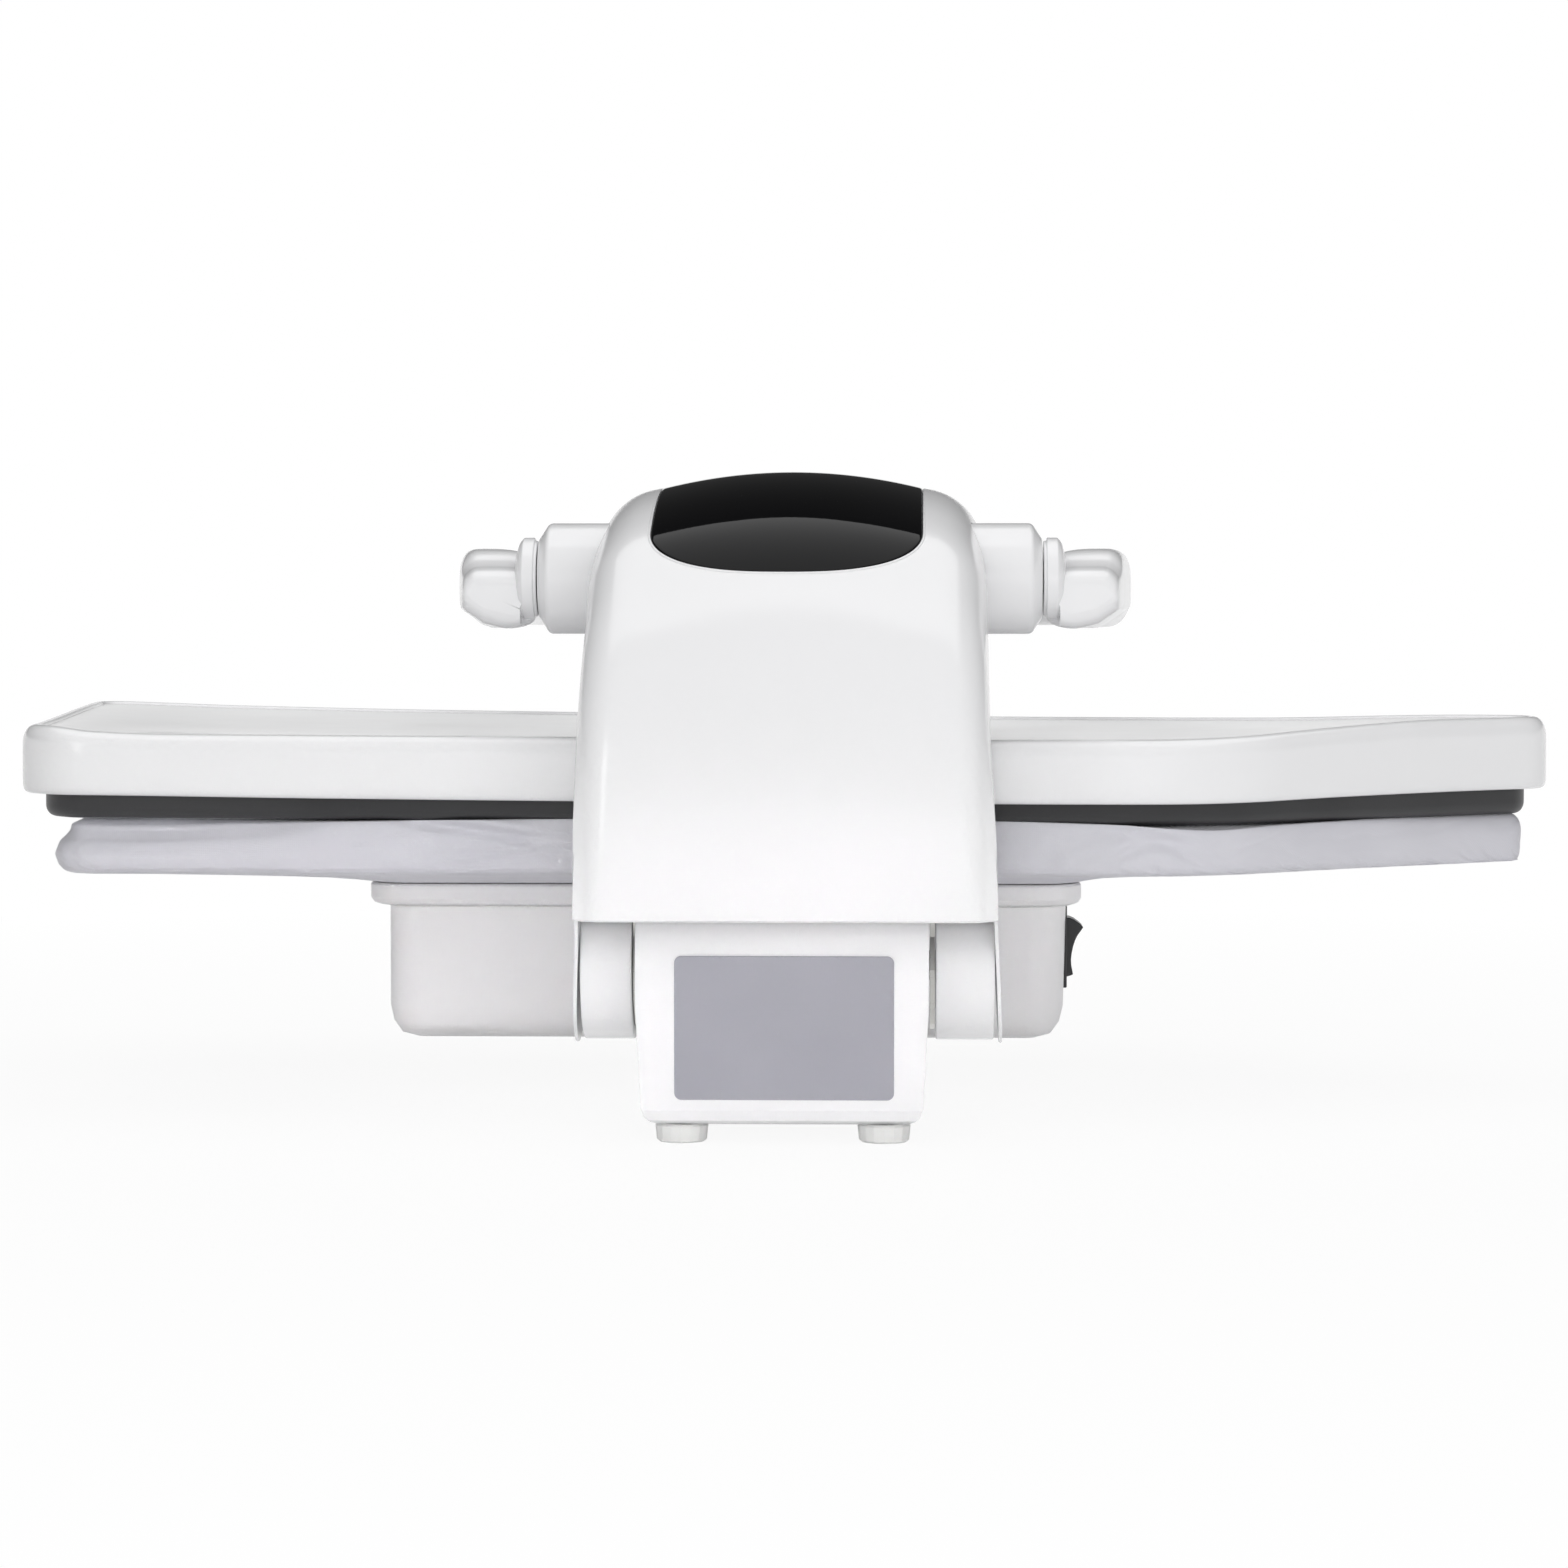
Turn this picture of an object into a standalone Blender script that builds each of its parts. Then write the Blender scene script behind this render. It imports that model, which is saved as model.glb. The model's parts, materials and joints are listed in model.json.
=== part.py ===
"""Steam ironing press, built piece by piece at real size.

Metres, +Z up, the operator stands on the -Y side and the hinge is on the +Y side.
The press is drawn about the middle plane of its arm, and then stood on the table by DATUM,
so that the origin is on the table, under the middle of the press's bounding box.
"""
import math

import bmesh
import bpy
from mathutils import Matrix, Vector

# Driving dimensions
GAP = 0.0003                      # running and seating clearance between neighbours
DATUM = (-0.0044, 0.0, 0.0030)    # from the drawing's origin to the place on the table

HINGE_Y = 0.155                   # arm hinge axis, along X
HINGE_Z = 0.064
PIVOT_Y = 0.090                   # handle pivot axis, along X
PIVOT_Z = 0.2195

PLATE_REAR_Y = 0.120              # pressing plate, plan outline
PLATE_FRONT_Y = -0.165
PLATE_END_X = 0.3415              # square end, at the front corner
PLATE_END_REAR_X = 0.3195         # square end, at the rear corner
NOSE_X = -0.345                   # where the two nose sides would meet before rounding
NOSE_START_X = -0.175

PAD_BOTTOM_Z = 0.0958
PAD_TOP_Z = 0.1180
TRAY_TOP_Z = 0.1000               # the board tray sits up inside the pad
HEM_Z = (0.0940, 0.0955)
SOLE_Z = PAD_TOP_Z + GAP
SOLE_THICKNESS = 0.0077
RIM_TOP_Z = 0.1290
COVER_BOTTOM_Z = 0.1273
COVER_TOP_Z = 0.1560
COVER_END_RISE = 0.0035           # the rounded edge stands higher at both ends
COVER_WALL = 0.0025

PRESS_LIFT = 0.008                # plate travel between pressed and released
HANDLE_SWING = math.radians(30)   # handle travel that makes that lift
CRANK_RADIUS = PRESS_LIFT / 2 / math.sin(HANDLE_SWING / 2)
PIN_RADIUS = 0.003
CHEEK_TOP_Z = 0.2230              # clears the frame's top web when the plate is up

SHAFT_RADIUS = 0.006
BARREL_RADIUS = 0.030
BARREL_INNER_X = 0.0603
BARREL_OUTER_X = 0.0809
HOOD_WALL = 0.0025
HOOD_FLOOR_Z = 0.1665             # lower edge of the hood over the plate
BOSS_RADIUS = 0.023
BOSS_OUTER_X = 0.1044
FRAME_PLATE_X = (0.0581, 0.0600)   # the arm frame's two side plates

BOX_HALF = 0.0577                 # hinge housing half width
BOX_BOTTOM_HALF = 0.0550
BOX_BOTTOM_Z = 0.0047
BOX_RADIUS = 0.050                # its round top, about the hinge axis
SPINE_FRONT_Y = 0.0253
SPINE_TOP_Z = 0.078

BASE_LOW = (-0.116, -0.130, 0.020)
BASE_HIGH = (0.1775, 0.025, 0.078)
BASE_WALL = 0.003
DECK_OVERHANG = 0.008
DECK_TOP_Z = 0.088
PAN_HALF = 0.056
PAN_Y = (-0.125, 0.025)

FOOT_RADIUS = 0.0105
FOOT_BOTTOM_Z = -0.0030
REAR_FOOT = (0.040, 0.190)
FRONT_FOOT = (0.042, -0.108)

HANDLE_ARM_X = 0.1335             # along the handle's sides
HANDLE_TOE_IN = 0.0082            # the sides draw in towards the hubs by this much
HANDLE_REAR_Y = 0.112
GRIP_Y = -0.199
GRIP_CORNER = 0.042
BUTTON_X = 0.052

SWITCH_Y = -0.010
SWITCH_Z = 0.059
ROCKER_X = -0.113
ROCKER_TILT = math.radians(12)

TANK_X = (0.030, 0.158)
TANK_Y = (-0.1262, -0.008)
TANK_Z = (0.0300, 0.0720)
TANK_FRONT_TOP = 0.0751
TANK_WALL = 0.002


def clear_scene():
    for old in list(bpy.data.objects):
        bpy.data.objects.remove(old, do_unlink=True)


clear_scene()
PARTS = bpy.data.collections.new("steam_ironing_press")
CUTTERS = bpy.data.collections.new("cutters")
bpy.context.scene.collection.children.link(PARTS)
bpy.context.scene.collection.children.link(CUTTERS)


def finish(name, colour, roughness, metallic=0.0):
    """A Principled material in the piece's own colour."""
    made = bpy.data.materials.new(name)
    made.use_nodes = True
    shader = made.node_tree.nodes["Principled BSDF"]
    shader.inputs["Base Color"].default_value = (*colour, 1.0)
    shader.inputs["Roughness"].default_value = roughness
    shader.inputs["Metallic"].default_value = metallic
    made.diffuse_color = (*colour, 1.0)
    return made


WHITE = finish("white_abs", (0.86, 0.86, 0.87), 0.25)
BLACK_GLOSS = finish("black_glass", (0.01, 0.01, 0.012), 0.08)
BLACK = finish("black_resin", (0.03, 0.03, 0.03), 0.5)
CLOTH = finish("pad_cloth", (0.52, 0.52, 0.58), 0.85)
STEEL = finish("zinc_steel", (0.62, 0.62, 0.60), 0.35, 1.0)
ALUMINIUM = finish("cast_aluminium", (0.75, 0.76, 0.77), 0.3, 1.0)
BRASS = finish("brass", (0.78, 0.62, 0.32), 0.35, 1.0)
RUBBER = finish("white_rubber", (0.80, 0.80, 0.79), 0.7)
BOARD = finish("circuit_board", (0.04, 0.22, 0.10), 0.45)
CLEAR = finish("tank_smoke", (0.55, 0.62, 0.68), 0.12)


def pivot_empty(name, place, parent=None):
    """A body's carrier: an empty on the axis that the body moves on."""
    empty = bpy.data.objects.new(name, None)
    empty.empty_display_size = 0.03
    PARTS.objects.link(empty)
    if parent is None:
        empty.location = place
    else:
        empty.parent = parent
        empty.location = Vector(place) - world_place(parent)
    return empty


def world_place(empty):
    place = empty.location.copy()
    while empty.parent:
        empty = empty.parent
        place += empty.location
    return place


BASE = pivot_empty("base_origin", (0, 0, 0))
ARM = pivot_empty("arm_hinge_axis", (0, HINGE_Y, HINGE_Z), BASE)
HANDLE = pivot_empty("handle_pivot_axis", (0, PIVOT_Y, PIVOT_Z), ARM)
PLATE = pivot_empty("plate_press_axis", (0, 0.045, SOLE_Z), ARM)
ROCKER = pivot_empty("rocker_axis", (ROCKER_X, SWITCH_Y, SWITCH_Z), BASE)
TANK = pivot_empty("tank_slide_axis", (0.094, TANK_Y[0], 0.049), BASE)
BUTTON = pivot_empty("button_axis", (BUTTON_X, GRIP_Y, 0.2305), HANDLE)


def piece(name, mesh, look, body, place=(0, 0, 0), turn=(0, 0, 0)):
    """Put a mesh in the scene as a named piece carried by a body."""
    made = bpy.data.objects.new(name, mesh)
    made.location = place
    made.rotation_euler = turn
    PARTS.objects.link(made)
    if look:
        mesh.materials.append(look)
    made.parent = body
    made.matrix_parent_inverse = Matrix.Translation(-world_place(body))
    return made


def cutter(made):
    """Turn a piece into a hidden cutting tool."""
    PARTS.objects.unlink(made)
    CUTTERS.objects.link(made)
    made.hide_render = True
    made.display_type = "WIRE"
    return made


def boolean(target, tool, operation="DIFFERENCE"):
    step = target.modifiers.new(operation.lower(), "BOOLEAN")
    step.object = cutter(tool)
    step.operation = operation
    step.solver = "EXACT"
    return target


def bevel(made, width, segments=2, angle=40):
    step = made.modifiers.new("edges", "BEVEL")
    step.width = width
    step.segments = segments
    step.limit_method = "ANGLE"
    step.angle_limit = math.radians(angle)
    return made


def smooth(made, angle=35):
    made.data.shade_smooth()
    made.data.set_sharp_from_angle(angle=math.radians(angle))
    return made


def mesh_from(name, work):
    mesh = bpy.data.meshes.new(name)
    work.to_mesh(mesh)
    work.free()
    return mesh


def box(name, low, high, look, body):
    """A block between two corners, its origin at its own middle."""
    low, high = Vector(low), Vector(high)
    work = bmesh.new()
    bmesh.ops.create_cube(work, size=1.0, matrix=Matrix.Diagonal((*(high - low), 1.0)))
    return piece(name, mesh_from(name, work), look, body, (low + high) / 2)


def along(axis):
    """The turn that lays local +Z along a signed row axis."""
    return {"+X": (0, math.pi / 2, 0), "-X": (0, -math.pi / 2, 0), "+Y": (-math.pi / 2, 0, 0),
            "-Y": (math.pi / 2, 0, 0), "+Z": (0, 0, 0), "-Z": (math.pi, 0, 0)}[axis]


def rod(name, radius, length, middle, axis, look, body, sides=24):
    work = bmesh.new()
    bmesh.ops.create_cone(work, cap_ends=True, segments=sides, radius1=radius, radius2=radius, depth=length)
    return smooth(piece(name, mesh_from(name, work), look, body, middle, along(axis)))


def turned(name, profile, place, axis, look, body, steps=24, ring=False):
    """A turned piece: (radius, height) points run down the outer side, height along the axis."""
    work = bmesh.new()
    points = [work.verts.new((radius, 0, height)) for radius, height in profile]
    pairs = list(zip(points, points[1:]))
    if ring:
        pairs.append((points[-1], points[0]))
    for first, second in pairs:
        work.edges.new((first, second))
    made = piece(name, mesh_from(name, work), look, body, place, along(axis))
    lathe = made.modifiers.new("lathe", "SCREW")
    lathe.steps = steps
    lathe.render_steps = steps
    lathe.use_merge_vertices = True
    lathe.merge_threshold = 0.00001
    lathe.use_smooth_shade = False
    return made


def slab(name, outline, thickness, look, body, place=(0, 0, 0), turn=(0, 0, 0)):
    """A flat outline given half its thickness each way, as a mesh."""
    curve = bpy.data.curves.new(name, "CURVE")
    curve.dimensions = "2D"
    curve.fill_mode = "BOTH"
    curve.extrude = thickness / 2
    run = curve.splines.new("POLY")
    run.points.add(len(outline) - 1)
    for point, (across, up) in zip(run.points, outline):
        point.co = (across, up, 0, 1)
    run.use_cyclic_u = True
    guide = bpy.data.objects.new(name + "_outline", curve)
    PARTS.objects.link(guide)
    depsgraph = bpy.context.evaluated_depsgraph_get()
    mesh = bpy.data.meshes.new_from_object(guide.evaluated_get(depsgraph))
    bpy.data.objects.remove(guide, do_unlink=True)
    work = bmesh.new()
    work.from_mesh(mesh)
    bmesh.ops.remove_doubles(work, verts=work.verts, dist=0.00001)
    bmesh.ops.recalc_face_normals(work, faces=work.faces)
    work.to_mesh(mesh)
    work.free()
    mesh.materials.clear()
    mesh.name = name
    return piece(name, mesh, look, body, place, turn)


SIDE_VIEW = (math.pi / 2, 0, math.pi / 2)   # an outline of (Y, Z) points, thick along X
REAR_VIEW = (math.pi / 2, 0, 0)             # an outline of (X, Z) points, thick along Y


def tube(name, points, radius, look, body, sides=2, cyclic=False):
    """A wire or pipe along points, welded so that it is one closed body."""
    curve = bpy.data.curves.new(name, "CURVE")
    curve.dimensions = "3D"
    curve.bevel_depth = radius
    curve.bevel_resolution = sides
    curve.use_fill_caps = True
    run = curve.splines.new("POLY")
    run.points.add(len(points) - 1)
    for point, place in zip(run.points, points):
        point.co = (*place, 1)
    run.use_cyclic_u = cyclic
    made = bpy.data.objects.new(name, curve)
    curve.materials.append(look)
    PARTS.objects.link(made)
    made.parent = body
    made.matrix_parent_inverse = Matrix.Translation(-world_place(body))
    return made


def lofted(name, rings, look, body, place=(0, 0, 0), caps=(True, True), closed=True):
    """A skin over rings of equal count, with flat caps where they are asked for."""
    work = bmesh.new()
    rows = [[work.verts.new(point) for point in ring] for ring in rings]
    count = len(rings[0])
    for lower, upper in zip(rows, rows[1:]):
        for index in range(count if closed else count - 1):
            after = (index + 1) % count
            work.faces.new((lower[index], lower[after], upper[after], upper[index]))
    if caps[0]:
        work.faces.new(rows[0][::-1])
    if caps[1]:
        work.faces.new(rows[-1])
    bmesh.ops.recalc_face_normals(work, faces=work.faces)
    return piece(name, mesh_from(name, work), look, body, place)


def swept_ring(name, stations, look, body):
    """A closed profile carried round a closed outline: stations[i][j], both ways round."""
    work = bmesh.new()
    rows = [[work.verts.new(point) for point in station] for station in stations]
    across, around = len(stations[0]), len(stations)
    for i in range(around):
        here, there = rows[i], rows[(i + 1) % around]
        for j in range(across):
            k = (j + 1) % across
            work.faces.new((here[j], there[j], there[k], here[k]))
    bmesh.ops.recalc_face_normals(work, faces=work.faces)
    return piece(name, mesh_from(name, work), look, body)


def rounded(corners, inset=0.0, arc=5, longest=1.0):
    """An outline with round corners: (x, y, radius) anticlockwise, drawn in by inset."""
    places = [Vector(corner[:2]) for corner in corners]
    count = len(places)
    moved = []
    for i, place in enumerate(places):
        before = (place - places[i - 1]).normalized()
        after = (places[(i + 1) % count] - place).normalized()
        left_a, left_b = Vector((-before.y, before.x)), Vector((-after.y, after.x))
        moved.append(place + (left_a + left_b) * inset / (1 + left_a.dot(left_b)))
    outline = []
    for i, place in enumerate(moved):
        radius = max(corners[i][2] - inset, 0.002)
        back = (moved[i - 1] - place).normalized()
        ahead = (moved[(i + 1) % count] - place).normalized()
        half = back.angle(ahead) / 2
        centre = place + (back + ahead).normalized() * radius / math.sin(half)
        start = place + back * radius / math.tan(half) - centre
        end = place + ahead * radius / math.tan(half) - centre
        sweep = start.angle_signed(end)
        for step in range(arc + 1):
            outline.append(centre + Matrix.Rotation(-sweep * step / arc, 2) @ start)
    spaced = []
    for i, point in enumerate(outline):
        following = outline[(i + 1) % len(outline)]
        pieces = max(1, math.ceil((following - point).length / longest))
        spaced += [point.lerp(following, k / pieces) for k in range(pieces)]
    return [(point.x, point.y) for point in spaced]


def rectangle(low, high, radius, inset=0.0, arc=4):
    return rounded([(low[0], low[1], radius), (high[0], low[1], radius),
                    (high[0], high[1], radius), (low[0], high[1], radius)], inset, arc)


PLATE_CORNERS = [(PLATE_END_X, PLATE_FRONT_Y, 0.040), (PLATE_END_REAR_X, PLATE_REAR_Y, 0.032),
                 (NOSE_START_X, PLATE_REAR_Y, 0.110), (NOSE_X, (PLATE_REAR_Y + PLATE_FRONT_Y) / 2, 0.028),
                 (NOSE_START_X, PLATE_FRONT_Y, 0.110)]


def plate_outline(inset, longest=0.085):
    """The plan of everything that follows the pressing plate, anticlockwise from above."""
    return rounded(PLATE_CORNERS, inset, arc=4, longest=longest)


def end_rise(x):
    """0 along the middle of the plate, 1 at its two ends."""
    reach = min(max((abs(x) - 0.215) / 0.095, 0.0), 1.0)
    return reach * reach * (3 - 2 * reach)


def spline(knots, steps):
    """A smooth run through knots of any dimension, steps pieces between two knots."""
    run = []
    last = len(knots) - 1
    for i in range(last):
        before, here = knots[max(i - 1, 0)], knots[i]
        ahead, beyond = knots[i + 1], knots[min(i + 2, last)]
        for k in range(steps):
            t = k / steps
            run.append(tuple(0.5 * (2 * b + (c - a) * t + (2 * a - 5 * b + 4 * c - d) * t * t
                                    + (3 * b - a - 3 * c + d) * t ** 3)
                             for a, b, c, d in zip(before, here, ahead, beyond)))
    run.append(tuple(knots[-1]))
    return run


# Base: shell, deck, pan, housing, feet


def make_base_shell():
    low, high = BASE_LOW, BASE_HIGH
    rings = []
    for inset, z in ((0.012, low[2]), (0.005, low[2] + 0.002), (0.0015, low[2] + 0.007), (0.0, low[2] + 0.014),
                     (0.0, high[2])):
        rings.append([(x, y, z) for x, y in rectangle(low, high, 0.016, inset)])
    shell = lofted("base_shell", rings, WHITE, BASE)
    floor = low[2] + BASE_WALL
    rings = []
    for inset, z in ((0.0120, floor), (0.0070, floor + 0.002), (0.0040, floor + 0.006), (BASE_WALL, floor + 0.012),
                     (BASE_WALL, high[2] + 0.01)):
        rings.append([(x, y, z) for x, y in rectangle(low, high, 0.016, inset)])
    boolean(shell, lofted("base_shell_inside", rings, None, BASE))
    bay = box("tank_bay", (TANK_X[0] - 0.004 - GAP, low[1] - 0.01, TANK_Z[0] - GAP),
              (TANK_X[1] + 0.004 + GAP, low[1] + 0.02, TANK_FRONT_TOP + GAP), None, BASE)
    boolean(shell, bay)
    for x in (TANK_X[0] + 0.012, TANK_X[1] - 0.012):
        boolean(shell, box("tank_rail", (x - 0.003, low[1] + 0.012, floor - 0.001),
                           (x + 0.003, TANK_Y[1] - 0.005, TANK_Z[0] - GAP), None, BASE), "UNION")
    window = box("switch_window", (low[0] - 0.01, SWITCH_Y - 0.0101, SWITCH_Z - 0.0158),
                 (low[0] + 0.01, SWITCH_Y + 0.0101, SWITCH_Z + 0.0158), None, BASE)
    boolean(shell, window)
    passage = box("hose_passage", (-0.030, high[1] - 0.01, 0.034), (0.030, high[1] + 0.01, 0.062), None, BASE)
    boolean(shell, passage)
    return smooth(shell)


def make_base_deck():
    low = (BASE_LOW[0] - DECK_OVERHANG, BASE_LOW[1] - DECK_OVERHANG)
    high = (BASE_HIGH[0] + DECK_OVERHANG, BASE_HIGH[1] + DECK_OVERHANG)
    bottom = BASE_HIGH[2] + GAP
    rings = []
    for inset, z in ((0.0045, bottom), (0.0012, bottom + 0.001), (0.0, bottom + 0.003), (0.0, DECK_TOP_Z - 0.001),
                     (0.001, DECK_TOP_Z)):
        rings.append([(x, y, z) for x, y in rectangle(low, high, 0.020, inset)])
    deck = lofted("base_deck", rings, WHITE, BASE)
    pocket = slab("deck_pocket", rectangle(low, high, 0.020, 0.0115), 0.012, None, BASE,
                  (0, 0, bottom - 0.006 + 0.0065))
    boolean(deck, pocket)
    return smooth(deck)


def make_base_pan():
    low, high = (-PAN_HALF, PAN_Y[0], BOX_BOTTOM_Z), (PAN_HALF, PAN_Y[1], BASE_LOW[2] - GAP)
    rings = []
    for inset, z in ((0.004, low[2]), (0.0, low[2] + 0.003), (0.0, high[2])):
        rings.append([(x, y, z) for x, y in rectangle(low, high, 0.012, inset, arc=3)])
    pan = lofted("base_pan", rings, WHITE, BASE)
    pocket = box("pan_pocket", (low[0] + 0.006, low[1] + 0.006, low[2] + 0.003),
                 (high[0] - 0.006, high[1] - 0.006, high[2] + 0.01), None, BASE)
    boolean(pan, pocket)
    return smooth(pan)


def hinge_arc(radius, start, end, steps):
    """Points of a (Y, Z) arc about the arm hinge, angles from +Y upwards."""
    return [(HINGE_Y + radius * math.cos(math.radians(start + (end - start) * k / steps)),
             HINGE_Z + radius * math.sin(math.radians(start + (end - start) * k / steps)))
            for k in range(steps + 1)]


def make_hinge_housing():
    """The rear box: round over the hinge axis, running forward as a low spine into the base."""
    back = HINGE_Y + BOX_RADIUS
    crown_end = 148.0
    profile = [(SPINE_FRONT_Y, BOX_BOTTOM_Z), (back - 0.006, BOX_BOTTOM_Z), (back - 0.0018, BOX_BOTTOM_Z + 0.0018),
               (back, BOX_BOTTOM_Z + 0.006)]
    profile += hinge_arc(BOX_RADIUS, 0, crown_end, 14)
    profile += [(profile[-1][0] - 0.001, SPINE_TOP_Z), (SPINE_FRONT_Y, SPINE_TOP_Z)]
    housing = slab("hinge_housing", profile, 0.140, WHITE, BASE, turn=SIDE_VIEW)
    front_view = rounded([(-BOX_BOTTOM_HALF, BOX_BOTTOM_Z, 0.007), (BOX_BOTTOM_HALF, BOX_BOTTOM_Z, 0.007),
                          (BOX_HALF, 0.052, 0.060), (BOX_HALF, 0.130, 0.002), (-BOX_HALF, 0.130, 0.002),
                          (-BOX_HALF, 0.052, 0.060)], arc=3)
    boolean(housing, slab("housing_front_view", front_view, 0.4, None, BASE, (0, 0.1, 0), REAR_VIEW), "INTERSECT")
    wall = 0.003
    inner = [(SPINE_FRONT_Y - 0.01, BOX_BOTTOM_Z + wall), (back - wall, BOX_BOTTOM_Z + wall)]
    inner += hinge_arc(BOX_RADIUS - wall, 0, crown_end, 10)
    inner += [(inner[-1][0] - 0.001, SPINE_TOP_Z - wall), (SPINE_FRONT_Y - 0.01, SPINE_TOP_Z - wall)]
    boolean(housing, slab("housing_inside", inner, 2 * BOX_BOTTOM_HALF - 2 * wall, None, BASE, turn=SIDE_VIEW))
    boolean(housing, rod("housing_bore", SHAFT_RADIUS + GAP, 0.2, (0, HINGE_Y, HINGE_Z), "+X", None, BASE, 20))
    boolean(housing, rod("gland_hole", 0.0065, 0.02, (BOX_HALF, 0.070, 0.046), "+X", None, BASE, 20))
    return smooth(housing)


def make_feet():
    for side, sign in (("left", 1), ("right", -1)):
        for row, (x, y) in (("rear", REAR_FOOT), ("front", FRONT_FOOT)):
            top = BOX_BOTTOM_Z - GAP
            bottom = FOOT_BOTTOM_Z
            profile = [(0, top), (FOOT_RADIUS - 0.001, top), (FOOT_RADIUS, top - 0.001),
                       (FOOT_RADIUS - 0.0006, bottom + 0.0008), (FOOT_RADIUS - 0.0016, bottom), (0, bottom)]
            turned(f"foot_{row}_{side}", profile, (sign * x, y, 0), "+Z", RUBBER, BASE, 16)


# Ironing board: tray, pad and the gathered hem under it


def neck_rings(inset, bottom, top):
    """The board's neck, from the deck's outline up to a wider one under the tray."""
    low = (BASE_LOW[0] - DECK_OVERHANG, BASE_LOW[1] - DECK_OVERHANG)
    high = (BASE_HIGH[0] + DECK_OVERHANG, BASE_HIGH[1] + DECK_OVERHANG)
    rings = []
    for spread, z in ((0.0, bottom), (0.3, HEM_Z[0] - 0.0025), (1.0, HEM_Z[1]), (1.0, top)):
        flare = 0.016 * spread
        outline = rectangle((low[0] - flare, low[1] + 0.0025 * spread), (high[0] + flare, high[1] + flare),
                            0.020 + flare, 0.0015 + inset, arc=3)
        rings.append([(x, y, z) for x, y in outline])
    return rings


def make_board():
    """A tray set up into the pad, its hollow neck that stands on the deck, the pad and the pad's hem."""
    tray_inset, bottom, wall = 0.030, HEM_Z[1] + GAP, 0.0015
    board = slab("board_plate", plate_outline(tray_inset, longest=1.0), TRAY_TOP_Z - bottom, ALUMINIUM, BASE,
                 (0, 0, (TRAY_TOP_Z + bottom) / 2))
    boolean(board, lofted("board_neck", neck_rings(0.0, DECK_TOP_Z + GAP, bottom + wall / 2), None, BASE), "UNION")
    pocket = slab("board_pocket", plate_outline(tray_inset + 0.002, longest=1.0), 0.01, None, BASE,
                  (0, 0, bottom + wall + 0.005))
    boolean(board, pocket)
    boolean(board, lofted("neck_inside", neck_rings(wall, DECK_TOP_Z - GAP, bottom), None, BASE))
    for row in (-0.085, -0.020):
        for column in range(3):
            x = -0.080 + 0.090 * column
            boolean(board, rod("board_vent", 0.004, 0.05, (x, row, TRAY_TOP_Z), "+Z", None, BASE, 6))
    rings = []
    for inset, rise in ((0.0320, 0.0), (0.0180, 0.0), (0.0130, 0.0025), (0.0110, 0.0075), (0.0120, 0.0125),
                        (0.0155, 0.0170), (0.0220, 0.0198), (0.0400, PAD_TOP_Z - PAD_BOTTOM_Z)):
        rings.append([(x, y, PAD_BOTTOM_Z + rise) for x, y in plate_outline(inset, longest=1.0)])
    pad = lofted("board_pad", rings, CLOTH, BASE)
    seat = slab("tray_seat", plate_outline(tray_inset - GAP, longest=1.0), 0.02, None, BASE,
                (0, 0, TRAY_TOP_Z + GAP - 0.01))
    boolean(pad, seat)
    smooth(pad, 60)
    stations = [[(*a, HEM_Z[1]), (*b, HEM_Z[1]), (*b, HEM_Z[0]), (*a, HEM_Z[0])]
                for a, b in zip(plate_outline(0.0170, longest=1.0), plate_outline(0.0245, longest=1.0))]
    swept_ring("cover_hem", stations, CLOTH, BASE)


# Hinge: shaft, barrels, springs


def make_hinge():
    rod("hinge_shaft", SHAFT_RADIUS, 2 * (BARREL_OUTER_X - 0.001), (0, HINGE_Y, HINGE_Z), "+X", STEEL, BASE, 20)
    length = BARREL_OUTER_X - BARREL_INNER_X
    for side, sign, axis in (("left", 1, "+X"), ("right", -1, "-X")):
        bore = SHAFT_RADIUS + GAP
        profile = [(BARREL_RADIUS - 0.001, length), (BARREL_RADIUS, length - 0.001), (BARREL_RADIUS, 0.001),
                   (BARREL_RADIUS - 0.001, 0), (0.0225, 0), (0.0225, length - 0.003), (bore, length - 0.003),
                   (bore, length)]
        start = (sign * BARREL_INNER_X, HINGE_Y, HINGE_Z)
        smooth(turned(f"hinge_barrel_{side}", profile, start, axis, WHITE, ARM, 22, ring=True))
        turns, wire, coil = 3, 0.0014, 0.0115
        per_turn = 8
        points = []
        for k in range(turns * per_turn + 1):
            angle = 2 * math.pi * k / per_turn
            along_x = sign * (BARREL_INNER_X + 0.0018 + 0.0033 * k / per_turn)
            points.append((along_x, HINGE_Y + coil * math.cos(angle), HINGE_Z + coil * math.sin(angle)))
        tail = points[-1]
        points.append((tail[0], tail[1] + 0.009, tail[2]))
        tube(f"torsion_spring_{side}", points, wire, STEEL, ARM, 1)


# Arm: hood, frame, bosses, bushes, panel

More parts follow.
